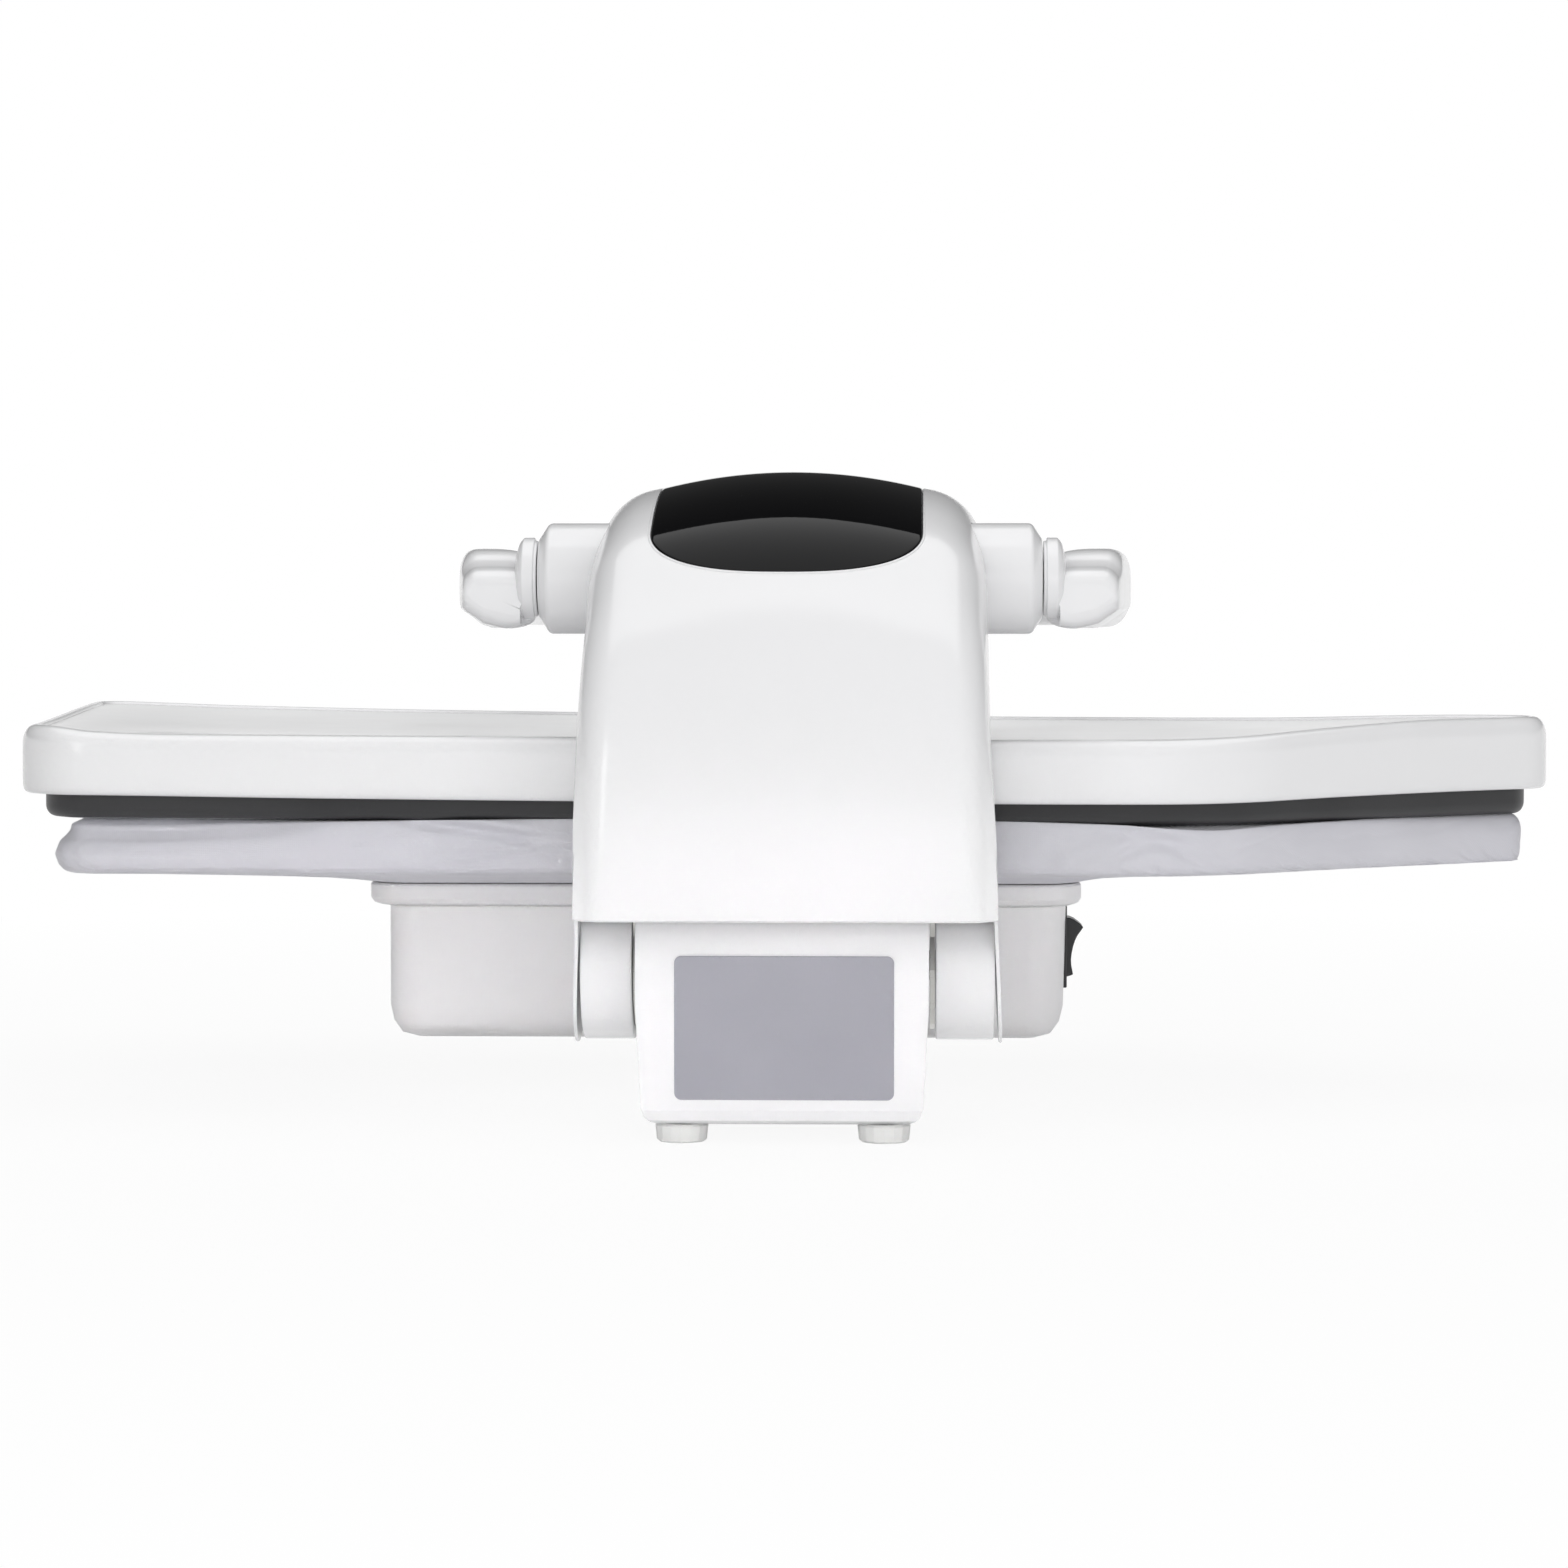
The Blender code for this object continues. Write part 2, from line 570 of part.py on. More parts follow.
# Hood stations from the rear lower edge over the crest to the front lower edge:
# spine (Y, Z), lower side edge (Y, Z), half width above, half width below, crown, corner size
HOOD_STATIONS = [
    (0.2150, 0.0860, 0.1975, 0.0860, 0.0832, 0.0836, 0.0010, 0.0130),
    (0.2148, 0.1080, 0.1868, 0.0690, 0.0826, 0.0860, 0.0012, 0.0140),
    (0.2135, 0.1320, 0.1790, 0.0450, 0.0821, 0.0862, 0.0016, 0.0150),
    (0.2100, 0.1560, 0.1550, 0.0330, 0.0816, 0.0862, 0.0022, 0.0160),
    (0.2030, 0.1790, 0.1310, 0.0450, 0.0811, 0.0861, 0.0030, 0.0175),
    (0.1915, 0.2010, 0.1235, 0.0690, 0.0806, 0.0858, 0.0042, 0.0195),
    (0.1750, 0.2215, 0.1232, 0.1060, 0.0802, 0.0845, 0.0056, 0.0220),
    (0.1520, 0.2390, 0.1230, 0.1430, 0.0799, 0.0832, 0.0068, 0.0240),
    (0.1230, 0.2520, 0.1160, HOOD_FLOOR_Z, 0.0797, 0.0820, 0.0076, 0.0255),
    (0.0900, 0.2605, 0.0860, HOOD_FLOOR_Z, 0.0796, 0.0815, 0.0080, 0.0260),
    (0.0550, 0.2645, 0.0550, HOOD_FLOOR_Z, 0.0795, 0.0812, 0.0080, 0.0260),
    (0.0200, 0.2620, 0.0240, HOOD_FLOOR_Z, 0.0793, 0.0810, 0.0080, 0.0260),
    (-0.0110, 0.2510, -0.0040, HOOD_FLOOR_Z, 0.0788, 0.0804, 0.0078, 0.0260),
    (-0.0340, 0.2300, -0.0250, HOOD_FLOOR_Z, 0.0778, 0.0794, 0.0074, 0.0260),
    (-0.0450, 0.2000, -0.0330, HOOD_FLOOR_Z, 0.0765, 0.0782, 0.0066, 0.0250),
    (-0.0480, HOOD_FLOOR_Z, -0.0210, HOOD_FLOOR_Z, 0.0750, 0.0768, 0.0060, 0.0240),
]


def hood_frame(along_hood):
    """Interpolated station and its outward normal at a place counted in stations."""
    stations = HOOD_STATIONS
    first = min(int(along_hood), len(stations) - 2)
    fine = 16
    run = spline([stations[max(first - 1, 0)], stations[first], stations[first + 1],
                  stations[min(first + 2, len(stations) - 1)]], fine)
    part = (along_hood - first) * fine
    low = min(int(part), fine - 1)
    start = run[fine + low]
    end = run[fine + low + 1]
    here = tuple(a + (b - a) * (part - low) for a, b in zip(start, end))
    direction = Vector((end[0] - start[0], end[1] - start[1])).normalized()
    return here, Vector((direction.y, -direction.x))


def hood_point(along_hood, x, depth=0.0):
    """A point of the crowned strip of the hood, sunk by depth under the skin."""
    here, normal = hood_frame(along_hood)
    flat = here[4] - here[7]
    drop = here[6] * (x / flat) ** 2 + depth
    return (x, here[0] - normal.x * drop, here[1] - normal.y * drop)


def hood_row(along_hood, crown_steps=2, arc_steps=4, side_steps=2):
    """Half a cross section of the hood, from the middle out and down to the lower edge."""
    here, normal = hood_frame(along_hood)
    spine = Vector(here[:2])
    edge = Vector(here[2:4])
    half_top, half_low, crown, corner = here[4:]
    flat = half_top - corner
    row = []
    for k in range(crown_steps + 1):
        x = flat * k / crown_steps
        row.append((x, spine - normal * crown * (x / flat) ** 2))
    for k in range(1, arc_steps + 1):
        angle = math.pi / 2 * k / arc_steps
        sink = crown + corner * (1 - math.cos(angle))
        row.append((flat + corner * math.sin(angle), spine - normal * sink))
    shoulder = spine - normal * (crown + corner)
    for k in range(1, side_steps + 1):
        t = k / side_steps
        row.append((half_top + (half_low - half_top) * t, shoulder.lerp(edge, t)))
    return row


def make_arm_cover():
    rows = []
    count = len(HOOD_STATIONS) - 1
    for k in range(2 * count - 7):
        half = hood_row(k * count / (2 * count - 8))
        row = [(-x, place.x, place.y) for x, place in half[:0:-1]] + [(x, place.x, place.y) for x, place in half]
        rows.append(row)
    hood = lofted("arm_cover", rows, WHITE, ARM, caps=(False, False), closed=False)
    turn_outwards(hood)
    wall = hood.modifiers.new("wall", "SOLIDIFY")
    wall.thickness = HOOD_WALL
    wall.offset = -1
    boolean(hood, panel_solid("panel_recess", 0.0004, -0.004, 0.0016, None))
    for sign in (1, -1):
        boolean(hood, rod("boss_hole", BOSS_RADIUS + GAP, 0.05, (sign * 0.085, PIVOT_Y, PIVOT_Z), "+X", None, ARM, 28))
    return smooth(hood, 30)


def turn_outwards(made):
    """Flip an open skin if its faces look towards the inside of the hood."""
    work = bmesh.new()
    work.from_mesh(made.data)
    work.faces.ensure_lookup_table()
    highest = max(work.faces, key=lambda face: face.calc_center_median().z)
    if highest.normal.z < 0:
        bmesh.ops.reverse_faces(work, faces=work.faces)
    work.to_mesh(made.data)
    work.free()


PANEL_START, PANEL_END = 6.15, 13.2      # places along the hood, counted in stations
PANEL_HALF = 0.0545


def panel_solid(name, margin, top, bottom, look):
    """The capsule-ended strip of the hood between two depths under the skin."""
    steps = 16
    ring_rows = []
    for k in range(steps + 1):
        bow = math.sin(math.pi / 2 * min(1.0, 4.2 * min(k, steps - k) / steps))
        half = (PANEL_HALF + margin) * (0.52 + 0.48 * bow ** 0.7)
        ease = 0.5 - 0.5 * math.cos(math.pi * k / steps)
        blend = 0.45 * k / steps + 0.55 * ease
        spread = margin * 30
        where = PANEL_START - spread + (PANEL_END - PANEL_START + 2 * spread) * blend
        across = [half * (-1 + 2 * j / 6) for j in range(7)]
        upper = [hood_point(where, x, top) for x in across]
        lower = [hood_point(where, x, bottom) for x in reversed(across)]
        ring_rows.append(upper + lower)
    return smooth(lofted(name, ring_rows, look, ARM), 40)


def make_control_panel():
    panel_solid("control_panel", 0.0, 0.0, 0.0013, BLACK_GLOSS)
    web_top = 0.2345
    box("display_board", (-0.040, 0.010, web_top + GAP), (0.040, 0.100, web_top + GAP + 0.0016), BOARD, ARM)


def make_arm_frame():
    """Two pressed side plates and three webs: it carries the load from hinge to press head."""
    profile = [(-0.0255, 0.186), (0.055, 0.178), (0.100, 0.172)]
    profile += [(0.1235, 0.160), (0.1260, 0.125)]
    profile += [(HINGE_Y + 0.026 * math.cos(math.radians(a)), HINGE_Z + 0.026 * math.sin(math.radians(a)))
                for a in range(150, 391, 30)]
    profile += [(0.188, 0.120), (0.182, 0.160), (0.160, 0.200), (0.128, 0.226), (0.095, 0.240), (0.050, 0.243),
                (0.000, 0.238), (-0.019, 0.222), (-0.0265, 0.205)]
    middle = sum(FRAME_PLATE_X) / 2
    thick = FRAME_PLATE_X[1] - FRAME_PLATE_X[0]
    frame = slab("arm_frame", profile, thick, STEEL, ARM, (middle, 0, 0), SIDE_VIEW)
    boolean(frame, slab("frame_plate_right", profile, thick, None, ARM, (-middle, 0, 0), SIDE_VIEW), "UNION")
    boolean(frame, box("top_web", (-middle, -0.010, 0.2320), (middle, 0.112, 0.2345), None, ARM), "UNION")
    boolean(frame, box("rear_web", (-middle, 0.174, 0.128), (middle, 0.1765, 0.168), None, ARM), "UNION")
    boolean(frame, box("guide_web", (-middle, 0.030, 0.1900), (middle, 0.0590, 0.1940), None, ARM), "UNION")
    boolean(frame, rod("frame_hinge_bore", SHAFT_RADIUS + GAP, 0.2, (0, HINGE_Y, HINGE_Z), "+X", None, ARM, 20))
    for sign in (1, -1):
        boolean(frame, rod("bush_hole", 0.0098, 0.02, (sign * middle, PIVOT_Y, PIVOT_Z), "+X", None, ARM, 20))
        boolean(frame, rod("guide_hole", 0.0043, 0.03, (sign * 0.025, 0.045, 0.192), "+Z", None, ARM, 16))
        boolean(frame, rod("lightening_hole", 0.014, 0.02, (sign * middle, 0.158, 0.150), "+X", None, ARM, 16))
        boolean(frame, rod("front_lightening_hole", 0.011, 0.02, (sign * middle, 0.005, 0.211), "+X", None, ARM, 16))
    return frame


def make_bosses():
    start = FRAME_PLATE_X[1] + GAP
    end = BOSS_OUTER_X - start
    for side, sign, axis in (("left", 1, "+X"), ("right", -1, "-X")):
        place = (sign * start, PIVOT_Y, PIVOT_Z)
        profile = [(BOSS_RADIUS - 0.0066, end), (BOSS_RADIUS - 0.0008, end - 0.0040), (BOSS_RADIUS, end - 0.0056),
                   (BOSS_RADIUS, 0), (0.0098, 0), (0.0098, end)]
        smooth(turned(f"pivot_boss_{side}", profile, place, axis, WHITE, ARM, 24, ring=True))
        inner = FRAME_PLATE_X[0] - GAP
        reach = 0.1020 - inner
        bush = [(0.0095, reach), (0.0095, 0), (SHAFT_RADIUS + GAP, 0), (SHAFT_RADIUS + GAP, reach)]
        turned(f"pivot_bush_{side}", bush, (sign * inner, PIVOT_Y, PIVOT_Z), axis, BRASS, ARM, 16, ring=True)


# Handle: shaft, cranks, hubs, bar, button


def crank_pin_place():
    """The crank pin at rest, in front of the shaft and half the lift below it."""
    return (PIVOT_Y - CRANK_RADIUS * math.cos(HANDLE_SWING / 2), PIVOT_Z - PRESS_LIFT / 2)


def make_press_shaft():
    rod("press_shaft", SHAFT_RADIUS, 0.2250, (0, PIVOT_Y, PIVOT_Z), "+X", STEEL, HANDLE, 20)
    pin_y, pin_z = crank_pin_place()
    hub, lobe = 0.0105, 0.0062
    lean = math.atan2(pin_z - PIVOT_Z, pin_y - PIVOT_Y)
    open_angle = math.acos((hub - lobe) / CRANK_RADIUS)
    outline = []
    for k in range(9):
        a = lean + open_angle + (2 * math.pi - 2 * open_angle) * k / 8
        outline.append((PIVOT_Y + hub * math.cos(a), PIVOT_Z + hub * math.sin(a)))
    for k in range(7):
        a = lean - open_angle + 2 * open_angle * k / 6
        outline.append((pin_y + lobe * math.cos(a), pin_z + lobe * math.sin(a)))
    for side, sign in (("left", 1), ("right", -1)):
        crank = slab(f"press_crank_{side}", outline, 0.006, STEEL, HANDLE, (sign * 0.0415, 0, 0), SIDE_VIEW)
        pin = rod("crank_pin", PIN_RADIUS, 0.0125, (sign * 0.04525, pin_y, pin_z), "+X", None, HANDLE, 16)
        boolean(crank, pin, "UNION")
        boolean(crank, rod("crank_bore", SHAFT_RADIUS + GAP, 0.03, (sign * 0.0415, PIVOT_Y, PIVOT_Z), "+X",
                           None, HANDLE, 20))


def make_handle_hubs():
    start, thick = 0.1050, 0.0097
    for side, sign, axis in (("left", 1, "+X"), ("right", -1, "-X")):
        bore = SHAFT_RADIUS + GAP
        profile = [(0, thick), (0.0160, thick), (0.0170, thick - 0.001), (0.0170, 0.001), (0.0160, 0), (bore, 0),
                   (bore, 0.0078), (0, 0.0078)]
        smooth(turned(f"handle_hub_{side}", profile, (sign * start, PIVOT_Y, PIVOT_Z), axis, WHITE, HANDLE, 22))


# Handle sections along one side: distance from the rear end, half width, low Z, high Z, squareness
HANDLE_SECTIONS = [
    (0.0000, 0.0072, 0.2025, 0.2185, 3.0),
    (0.0022, 0.0092, 0.1998, 0.2212, 3.2),
    (0.0070, 0.0099, 0.1988, 0.2226, 3.6),
    (0.0160, 0.0102, 0.1985, 0.2262, 3.6),
    (0.0250, 0.0104, 0.1984, 0.2305, 3.6),
    (0.0360, 0.0107, 0.1984, 0.2326, 3.6),
    (0.0750, 0.0116, 0.1984, 0.2321, 3.5),
    (0.1200, 0.0122, 0.1984, 0.2315, 3.4),
    (0.2250, 0.0128, 0.1984, 0.2296, 3.0),
    (0.2680, 0.0134, 0.1984, 0.2288, 2.8),
    (0.2900, 0.0142, 0.1982, 0.2285, 2.6),
    (0.3120, 0.0152, 0.1980, 0.2285, 2.5),
    (0.3340, 0.0160, 0.1978, 0.2285, 2.4),
    (0.3760, 0.0160, 0.1978, 0.2285, 2.4),
    (0.4275, 0.0155, 0.1978, 0.2285, 2.4),
]


def handle_path(distance):
    """Plan position and heading at a distance from the rear end of the +X side."""
    straight = HANDLE_REAR_Y - (GRIP_Y + GRIP_CORNER)
    quarter = GRIP_CORNER * math.pi / 2
    if distance <= straight:
        left = 1 - min(distance / HANDLE_REAR_Y, 1.0)
        return Vector((HANDLE_ARM_X - HANDLE_TOE_IN * left * left, HANDLE_REAR_Y - distance)), Vector((0, -1))
    if distance <= straight + quarter:
        angle = (distance - straight) / GRIP_CORNER
        centre = Vector((HANDLE_ARM_X - GRIP_CORNER, GRIP_Y + GRIP_CORNER))
        return (centre + GRIP_CORNER * Vector((math.cos(angle), -math.sin(angle))),
                Vector((-math.sin(angle), -math.cos(angle))))
    return Vector((HANDLE_ARM_X - GRIP_CORNER - (distance - straight - quarter), GRIP_Y)), Vector((-1, 0))


def handle_ring(distance, half_width, low, high, squareness, points=14):
    place, heading = handle_path(distance)
    outward = Vector((-heading.y, heading.x))
    ring = []
    for k in range(points):
        angle = 2 * math.pi * k / points
        c, s = math.cos(angle), math.sin(angle)
        across = half_width * math.copysign(abs(c) ** (2 / squareness), c)
        up = (high - low) / 2 * math.copysign(abs(s) ** (2 / squareness), s)
        spot = place + outward * across
        ring.append((spot.x, spot.y, (high + low) / 2 + up))
    return ring


def make_handle_bar():
    half = [handle_ring(*section) for section in HANDLE_SECTIONS]
    ring_count = len(half[0])
    mirrored = []
    for ring in reversed(half):
        mirrored.append([(-x, y, z) for x, y, z in ring])
    if abs(half[-1][0][0]) < 0.0005:
        mirrored = mirrored[1:]
    assert all(len(ring) == ring_count for ring in half + mirrored)
    bar = lofted("handle_bar", half + mirrored, WHITE, HANDLE)
    pocket = slab("button_pocket", rectangle((BUTTON_X - 0.0125, GRIP_Y - 0.0070),
                                             (BUTTON_X + 0.0125, GRIP_Y + 0.0070), 0.004, arc=3),
                  0.020, None, HANDLE, (0, 0, 0.2200 + 0.010))
    boolean(bar, pocket)
    smooth(bar, 40)
    rings = []
    for inset, z in ((0.0003, 0.2232), (0.0003, 0.2290), (0.0010, 0.2300), (0.0026, 0.2305)):
        rings.append([(x, y, z) for x, y in rectangle((BUTTON_X - 0.0125, GRIP_Y - 0.0070),
                                                      (BUTTON_X + 0.0125, GRIP_Y + 0.0070), 0.004, inset, 3)])
    smooth(lofted("steam_button", rings, BLACK, BUTTON))


# Pressing plate: cover, rim, sole, element, carrier


def make_plate_cover():
    rings = []
    for inset, z, rise in ((0.0014, COVER_BOTTOM_Z, 0), (0.0002, COVER_BOTTOM_Z + 0.003, 0), (0.0, 0.1440, 0.6),
                           (0.0012, 0.1500, 1), (0.0045, 0.1540, 1), (0.0100, COVER_TOP_Z, 1),
                           (0.0190, COVER_TOP_Z + 0.0004, 0.5), (0.0300, COVER_TOP_Z, 0)):
        rings.append([(x, y, z + rise * COVER_END_RISE * end_rise(x)) for x, y in plate_outline(inset)])
    cover = lofted("plate_cover", rings, WHITE, PLATE, caps=(False, True))
    wall = cover.modifiers.new("wall", "SOLIDIFY")
    wall.thickness = COVER_WALL
    wall.offset = -1
    opening = slab("carrier_opening", rectangle((-0.054, 0.028), (0.054, 0.094), 0.006, arc=3), 0.04, None, PLATE,
                   (0, 0, COVER_TOP_Z))
    boolean(cover, opening)
    return smooth(cover, 32)


def make_rim_and_sole():
    profile = ((0.0106, SOLE_Z + 0.0003), (0.0095, SOLE_Z + 0.0018), (0.0095, COVER_BOTTOM_Z + GAP),
               (0.0040, COVER_BOTTOM_Z + GAP), (0.0040, RIM_TOP_Z), (0.0142, RIM_TOP_Z), (0.0142, SOLE_Z + 0.0003))
    loops = [[(x, y, z) for x, y in plate_outline(inset)] for inset, z in profile]
    swept_ring("heat_shield", list(zip(*loops)), BLACK, PLATE)
    top = SOLE_Z + SOLE_THICKNESS
    rings = []
    for inset, z in ((0.0160, SOLE_Z), (0.0145, SOLE_Z + 0.0012), (0.0145, top)):
        rings.append([(x, y, z) for x, y in plate_outline(inset, longest=1.0)])
    sole = lofted("heating_plate", rings, ALUMINIUM, PLATE)
    for row, y in enumerate((-0.110, -0.0225, 0.065)):
        for column in range(5 - row % 2):
            x = -0.160 + 0.092 * column + 0.046 * (row % 2)
            boolean(sole, rod("steam_vent", 0.0022, 0.03, (x, y, SOLE_Z), "+Z", None, PLATE, 6))
    return smooth(sole)


def make_heating_element():
    radius = 0.0036
    z = SOLE_Z + SOLE_THICKNESS + GAP + radius
    loop = plate_outline(0.030)
    start = max(range(len(loop)), key=lambda i: (loop[i][1] > 0.08, -abs(loop[i][0] - 0.160)))
    order = loop[start + 1:] + loop[:start]
    tube("heating_element", [(x, y, z) for x, y in order], radius, STEEL, PLATE, 1)
    turned("thermostat", [(0, 0.012), (0.008, 0.012), (0.009, 0.010), (0.009, 0.003), (0.013, 0.003), (0.013, 0), (0, 0)],
           (0.120, -0.020, SOLE_Z + SOLE_THICKNESS + GAP), "+Z", STEEL, PLATE, 14)


def make_plate_carrier():
    """A bent bracket on the sole: two cheeks with level slots that the crank pins work in."""
    foot_low = SOLE_Z + SOLE_THICKNESS + GAP
    foot_high = foot_low + 0.0025
    pin_y, pin_z = crank_pin_place()
    carrier = box("plate_carrier", (-0.048, 0.032, foot_low), (0.048, 0.085, foot_high), STEEL, PLATE)
    cheek = rounded([(0.040, foot_low + 0.001, 0.001), (0.082, foot_low + 0.001, 0.001), (0.083, 0.172, 0.010),
                     (0.083, CHEEK_TOP_Z, 0.004), (0.064, CHEEK_TOP_Z, 0.006), (0.062, 0.170, 0.020)],
                    arc=3)
    slack = CRANK_RADIUS * (1 - math.cos(HANDLE_SWING / 2))
    reach = PIN_RADIUS + GAP
    for sign in (1, -1):
        boolean(carrier, slab("carrier_cheek", cheek, 0.003, None, PLATE, (sign * 0.0465, 0, 0), SIDE_VIEW), "UNION")
        slot = rectangle((pin_y - slack - reach - 0.0004, pin_z - reach), (pin_y + reach + 0.0004, pin_z + reach),
                         reach - 0.00001, arc=5)
        boolean(carrier, slab("pin_slot", slot, 0.012, None, PLATE, (sign * 0.0465, 0, 0), SIDE_VIEW))
    for side, sign in (("left", 1), ("right", -1)):
        low, high = foot_high + GAP, 0.2160
        rod(f"guide_rod_{side}", 0.0040, high - low, (sign * 0.025, 0.045, (low + high) / 2), "+Z", STEEL, PLATE, 16)


# Switch, gland, pump, board and tank in the base


def make_switch():
    outer = (BASE_LOW[0] - GAP - 0.0020, SWITCH_Y - 0.0125, SWITCH_Z - 0.0180)
    inner = (BASE_LOW[0] - GAP, SWITCH_Y + 0.0125, SWITCH_Z + 0.0180)
    bezel = box("switch_bezel", outer, inner, BLACK, BASE)
    sleeve = box("bezel_sleeve", (BASE_LOW[0] - GAP - 0.001, SWITCH_Y - 0.0098, SWITCH_Z - 0.0155),
                 (BASE_LOW[0] + 0.0130, SWITCH_Y + 0.0098, SWITCH_Z + 0.0155), None, BASE)
    boolean(bezel, sleeve, "UNION")
    window = box("bezel_window", (BASE_LOW[0] - 0.01, SWITCH_Y - 0.0080, SWITCH_Z - 0.0146),
                 (BASE_LOW[0] + 0.02, SWITCH_Y + 0.0080, SWITCH_Z + 0.0146), None, BASE)
    boolean(bezel, window)
    bevel(bezel, 0.0004, 1)
    outline = [(0.0030, -0.0060), (0.0030, 0.0060), (-0.0020, 0.0118), (-0.0085, 0.0125), (-0.0068, 0.0060),
               (-0.0060, 0.0), (-0.0068, -0.0060), (-0.0085, -0.0125), (-0.0020, -0.0118)]
    rocker = slab("power_rocker", outline, 0.0154, BLACK, ROCKER, (ROCKER_X, SWITCH_Y, SWITCH_Z),
                  (math.pi / 2, -ROCKER_TILT, 0))
    return rocker


def make_base_fittings():
    flange, neck, bore = 0.0095, 0.0062, 0.0035
    profile = [(flange - 0.001, 0.0048), (flange, 0.0035), (flange, 0.0006), (neck, 0.0006), (neck, -0.0050),
               (bore, -0.0050), (bore, 0.0048)]
    smooth(turned("cord_gland", profile, (BOX_HALF, 0.070, 0.046), "+X", BLACK, BASE, 14, ring=True))
    floor = BASE_LOW[2] + BASE_WALL + GAP
    pump = box("water_pump", (-0.058, -0.050, floor), (-0.012, 0.000, floor + 0.030), BLACK, BASE)
    boolean(pump, rod("pump_barrel", 0.011, 0.076, (-0.035, -0.026, floor + 0.020), "+Y", None, BASE, 16), "UNION")
    boolean(pump, rod("pump_nozzle", 0.003, 0.090, (-0.035, -0.026, floor + 0.020), "+Y", None, BASE, 8), "UNION")
    board = box("control_board", (-0.060, -0.118, floor + 0.0030), (0.018, -0.080, floor + 0.0046), BOARD, BASE)
    for x in (-0.052, 0.010):
        for y in (-0.112, -0.086):
            boolean(board, rod("board_post", 0.0025, 0.0040, (x, y, floor + 0.0020), "+Z", None, BASE, 8), "UNION")


def make_tank():
    low = (TANK_X[0], TANK_Y[0], TANK_Z[0])
    high = (TANK_X[1], TANK_Y[1], TANK_Z[1])
    rings = []
    for inset, z in ((0.003, low[2]), (0.0, low[2] + 0.003), (0.0, high[2] - 0.003), (0.003, high[2])):
        rings.append([(x, y, z) for x, y in rectangle(low, high, 0.008, inset, 3)])
    tank = lofted("water_tank", rings, CLEAR, TANK)
    hollow = []
    for inset, z in ((0.005, low[2] + TANK_WALL), (0.002, low[2] + 0.005), (0.002, high[2] - 0.005),
                     (0.005, high[2] - TANK_WALL)):
        hollow.append([(x, y, z) for x, y in rectangle(low, high, 0.008, inset, 3)])
    boolean(tank, lofted("tank_inside", hollow, None, TANK))
    filler = (0.094, -0.090)
    boolean(tank, rod("filler_hole", 0.0115, 0.02, (*filler, high[2]), "+Z", None, TANK, 20))
    smooth(tank)
    plug = [(0, 0.0022), (0.0140, 0.0022), (0.0150, 0.0014), (0.0150, 0.0003), (0.0112, 0.0003), (0.0106, -0.0060),
            (0, -0.0060)]
    turned("tank_plug", plug, (*filler, high[2]), "+Z", RUBBER, TANK, 14)
    face = box("tank_front", (TANK_X[0] - 0.004, BASE_LOW[1] + 0.0002, TANK_Z[0]),
               (TANK_X[1] + 0.004, TANK_Y[0] - GAP, TANK_FRONT_TOP), WHITE, TANK)
    middle_x = (TANK_X[0] + TANK_X[1]) / 2
    skin = BASE_LOW[1] + 0.0002
    scoop = turned("finger_scoop", [(0, 0.040), (0.012, 0.038), (0.020, 0.030), (0.022, 0), (0.020, -0.030),
                                    (0.012, -0.038), (0, -0.040)],
                   (middle_x, skin - 0.0200, 0.048), "+X", None, TANK, 24)
    boolean(face, scoop)
    lip = [(skin + 0.001, 0.0720), (skin - 0.0046, 0.0720), (skin - 0.0062, 0.0704), (skin - 0.0062, 0.0610),
           (skin - 0.0052, 0.0600), (skin - 0.0042, 0.0610), (skin - 0.0042, 0.0676), (skin - 0.0020, 0.0694),
           (skin + 0.001, 0.0694)]
    boolean(face, slab("pull_lip", lip, 0.060, None, TANK, (middle_x, 0, 0), SIDE_VIEW), "UNION")


make_base_shell()
make_base_deck()
make_base_pan()
make_hinge_housing()
make_feet()
make_board()
make_hinge()
make_arm_cover()
make_control_panel()
make_arm_frame()
make_bosses()
make_press_shaft()
make_handle_hubs()
make_handle_bar()
make_plate_cover()
make_rim_and_sole()
make_heating_element()
make_plate_carrier()
make_switch()
make_base_fittings()
make_tank()
BASE.location = DATUM
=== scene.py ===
import json
import math
import bmesh
import bpy
import numpy as np
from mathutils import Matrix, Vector


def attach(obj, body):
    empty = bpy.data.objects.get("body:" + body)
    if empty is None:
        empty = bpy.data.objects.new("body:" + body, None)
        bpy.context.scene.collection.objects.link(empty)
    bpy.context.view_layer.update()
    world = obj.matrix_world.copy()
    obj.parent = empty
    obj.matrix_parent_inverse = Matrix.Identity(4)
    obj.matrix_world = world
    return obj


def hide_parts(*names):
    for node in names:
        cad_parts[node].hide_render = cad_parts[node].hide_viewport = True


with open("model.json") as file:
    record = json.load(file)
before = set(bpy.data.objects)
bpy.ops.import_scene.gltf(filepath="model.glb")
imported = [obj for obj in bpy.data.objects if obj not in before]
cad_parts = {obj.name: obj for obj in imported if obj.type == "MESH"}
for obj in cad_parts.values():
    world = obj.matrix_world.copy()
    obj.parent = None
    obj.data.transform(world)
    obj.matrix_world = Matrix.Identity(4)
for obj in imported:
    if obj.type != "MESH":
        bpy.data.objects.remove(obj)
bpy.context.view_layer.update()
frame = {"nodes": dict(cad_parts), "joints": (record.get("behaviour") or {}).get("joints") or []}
nodes = frame["nodes"]
joints = {joint["name"]: joint for joint in frame["joints"]}

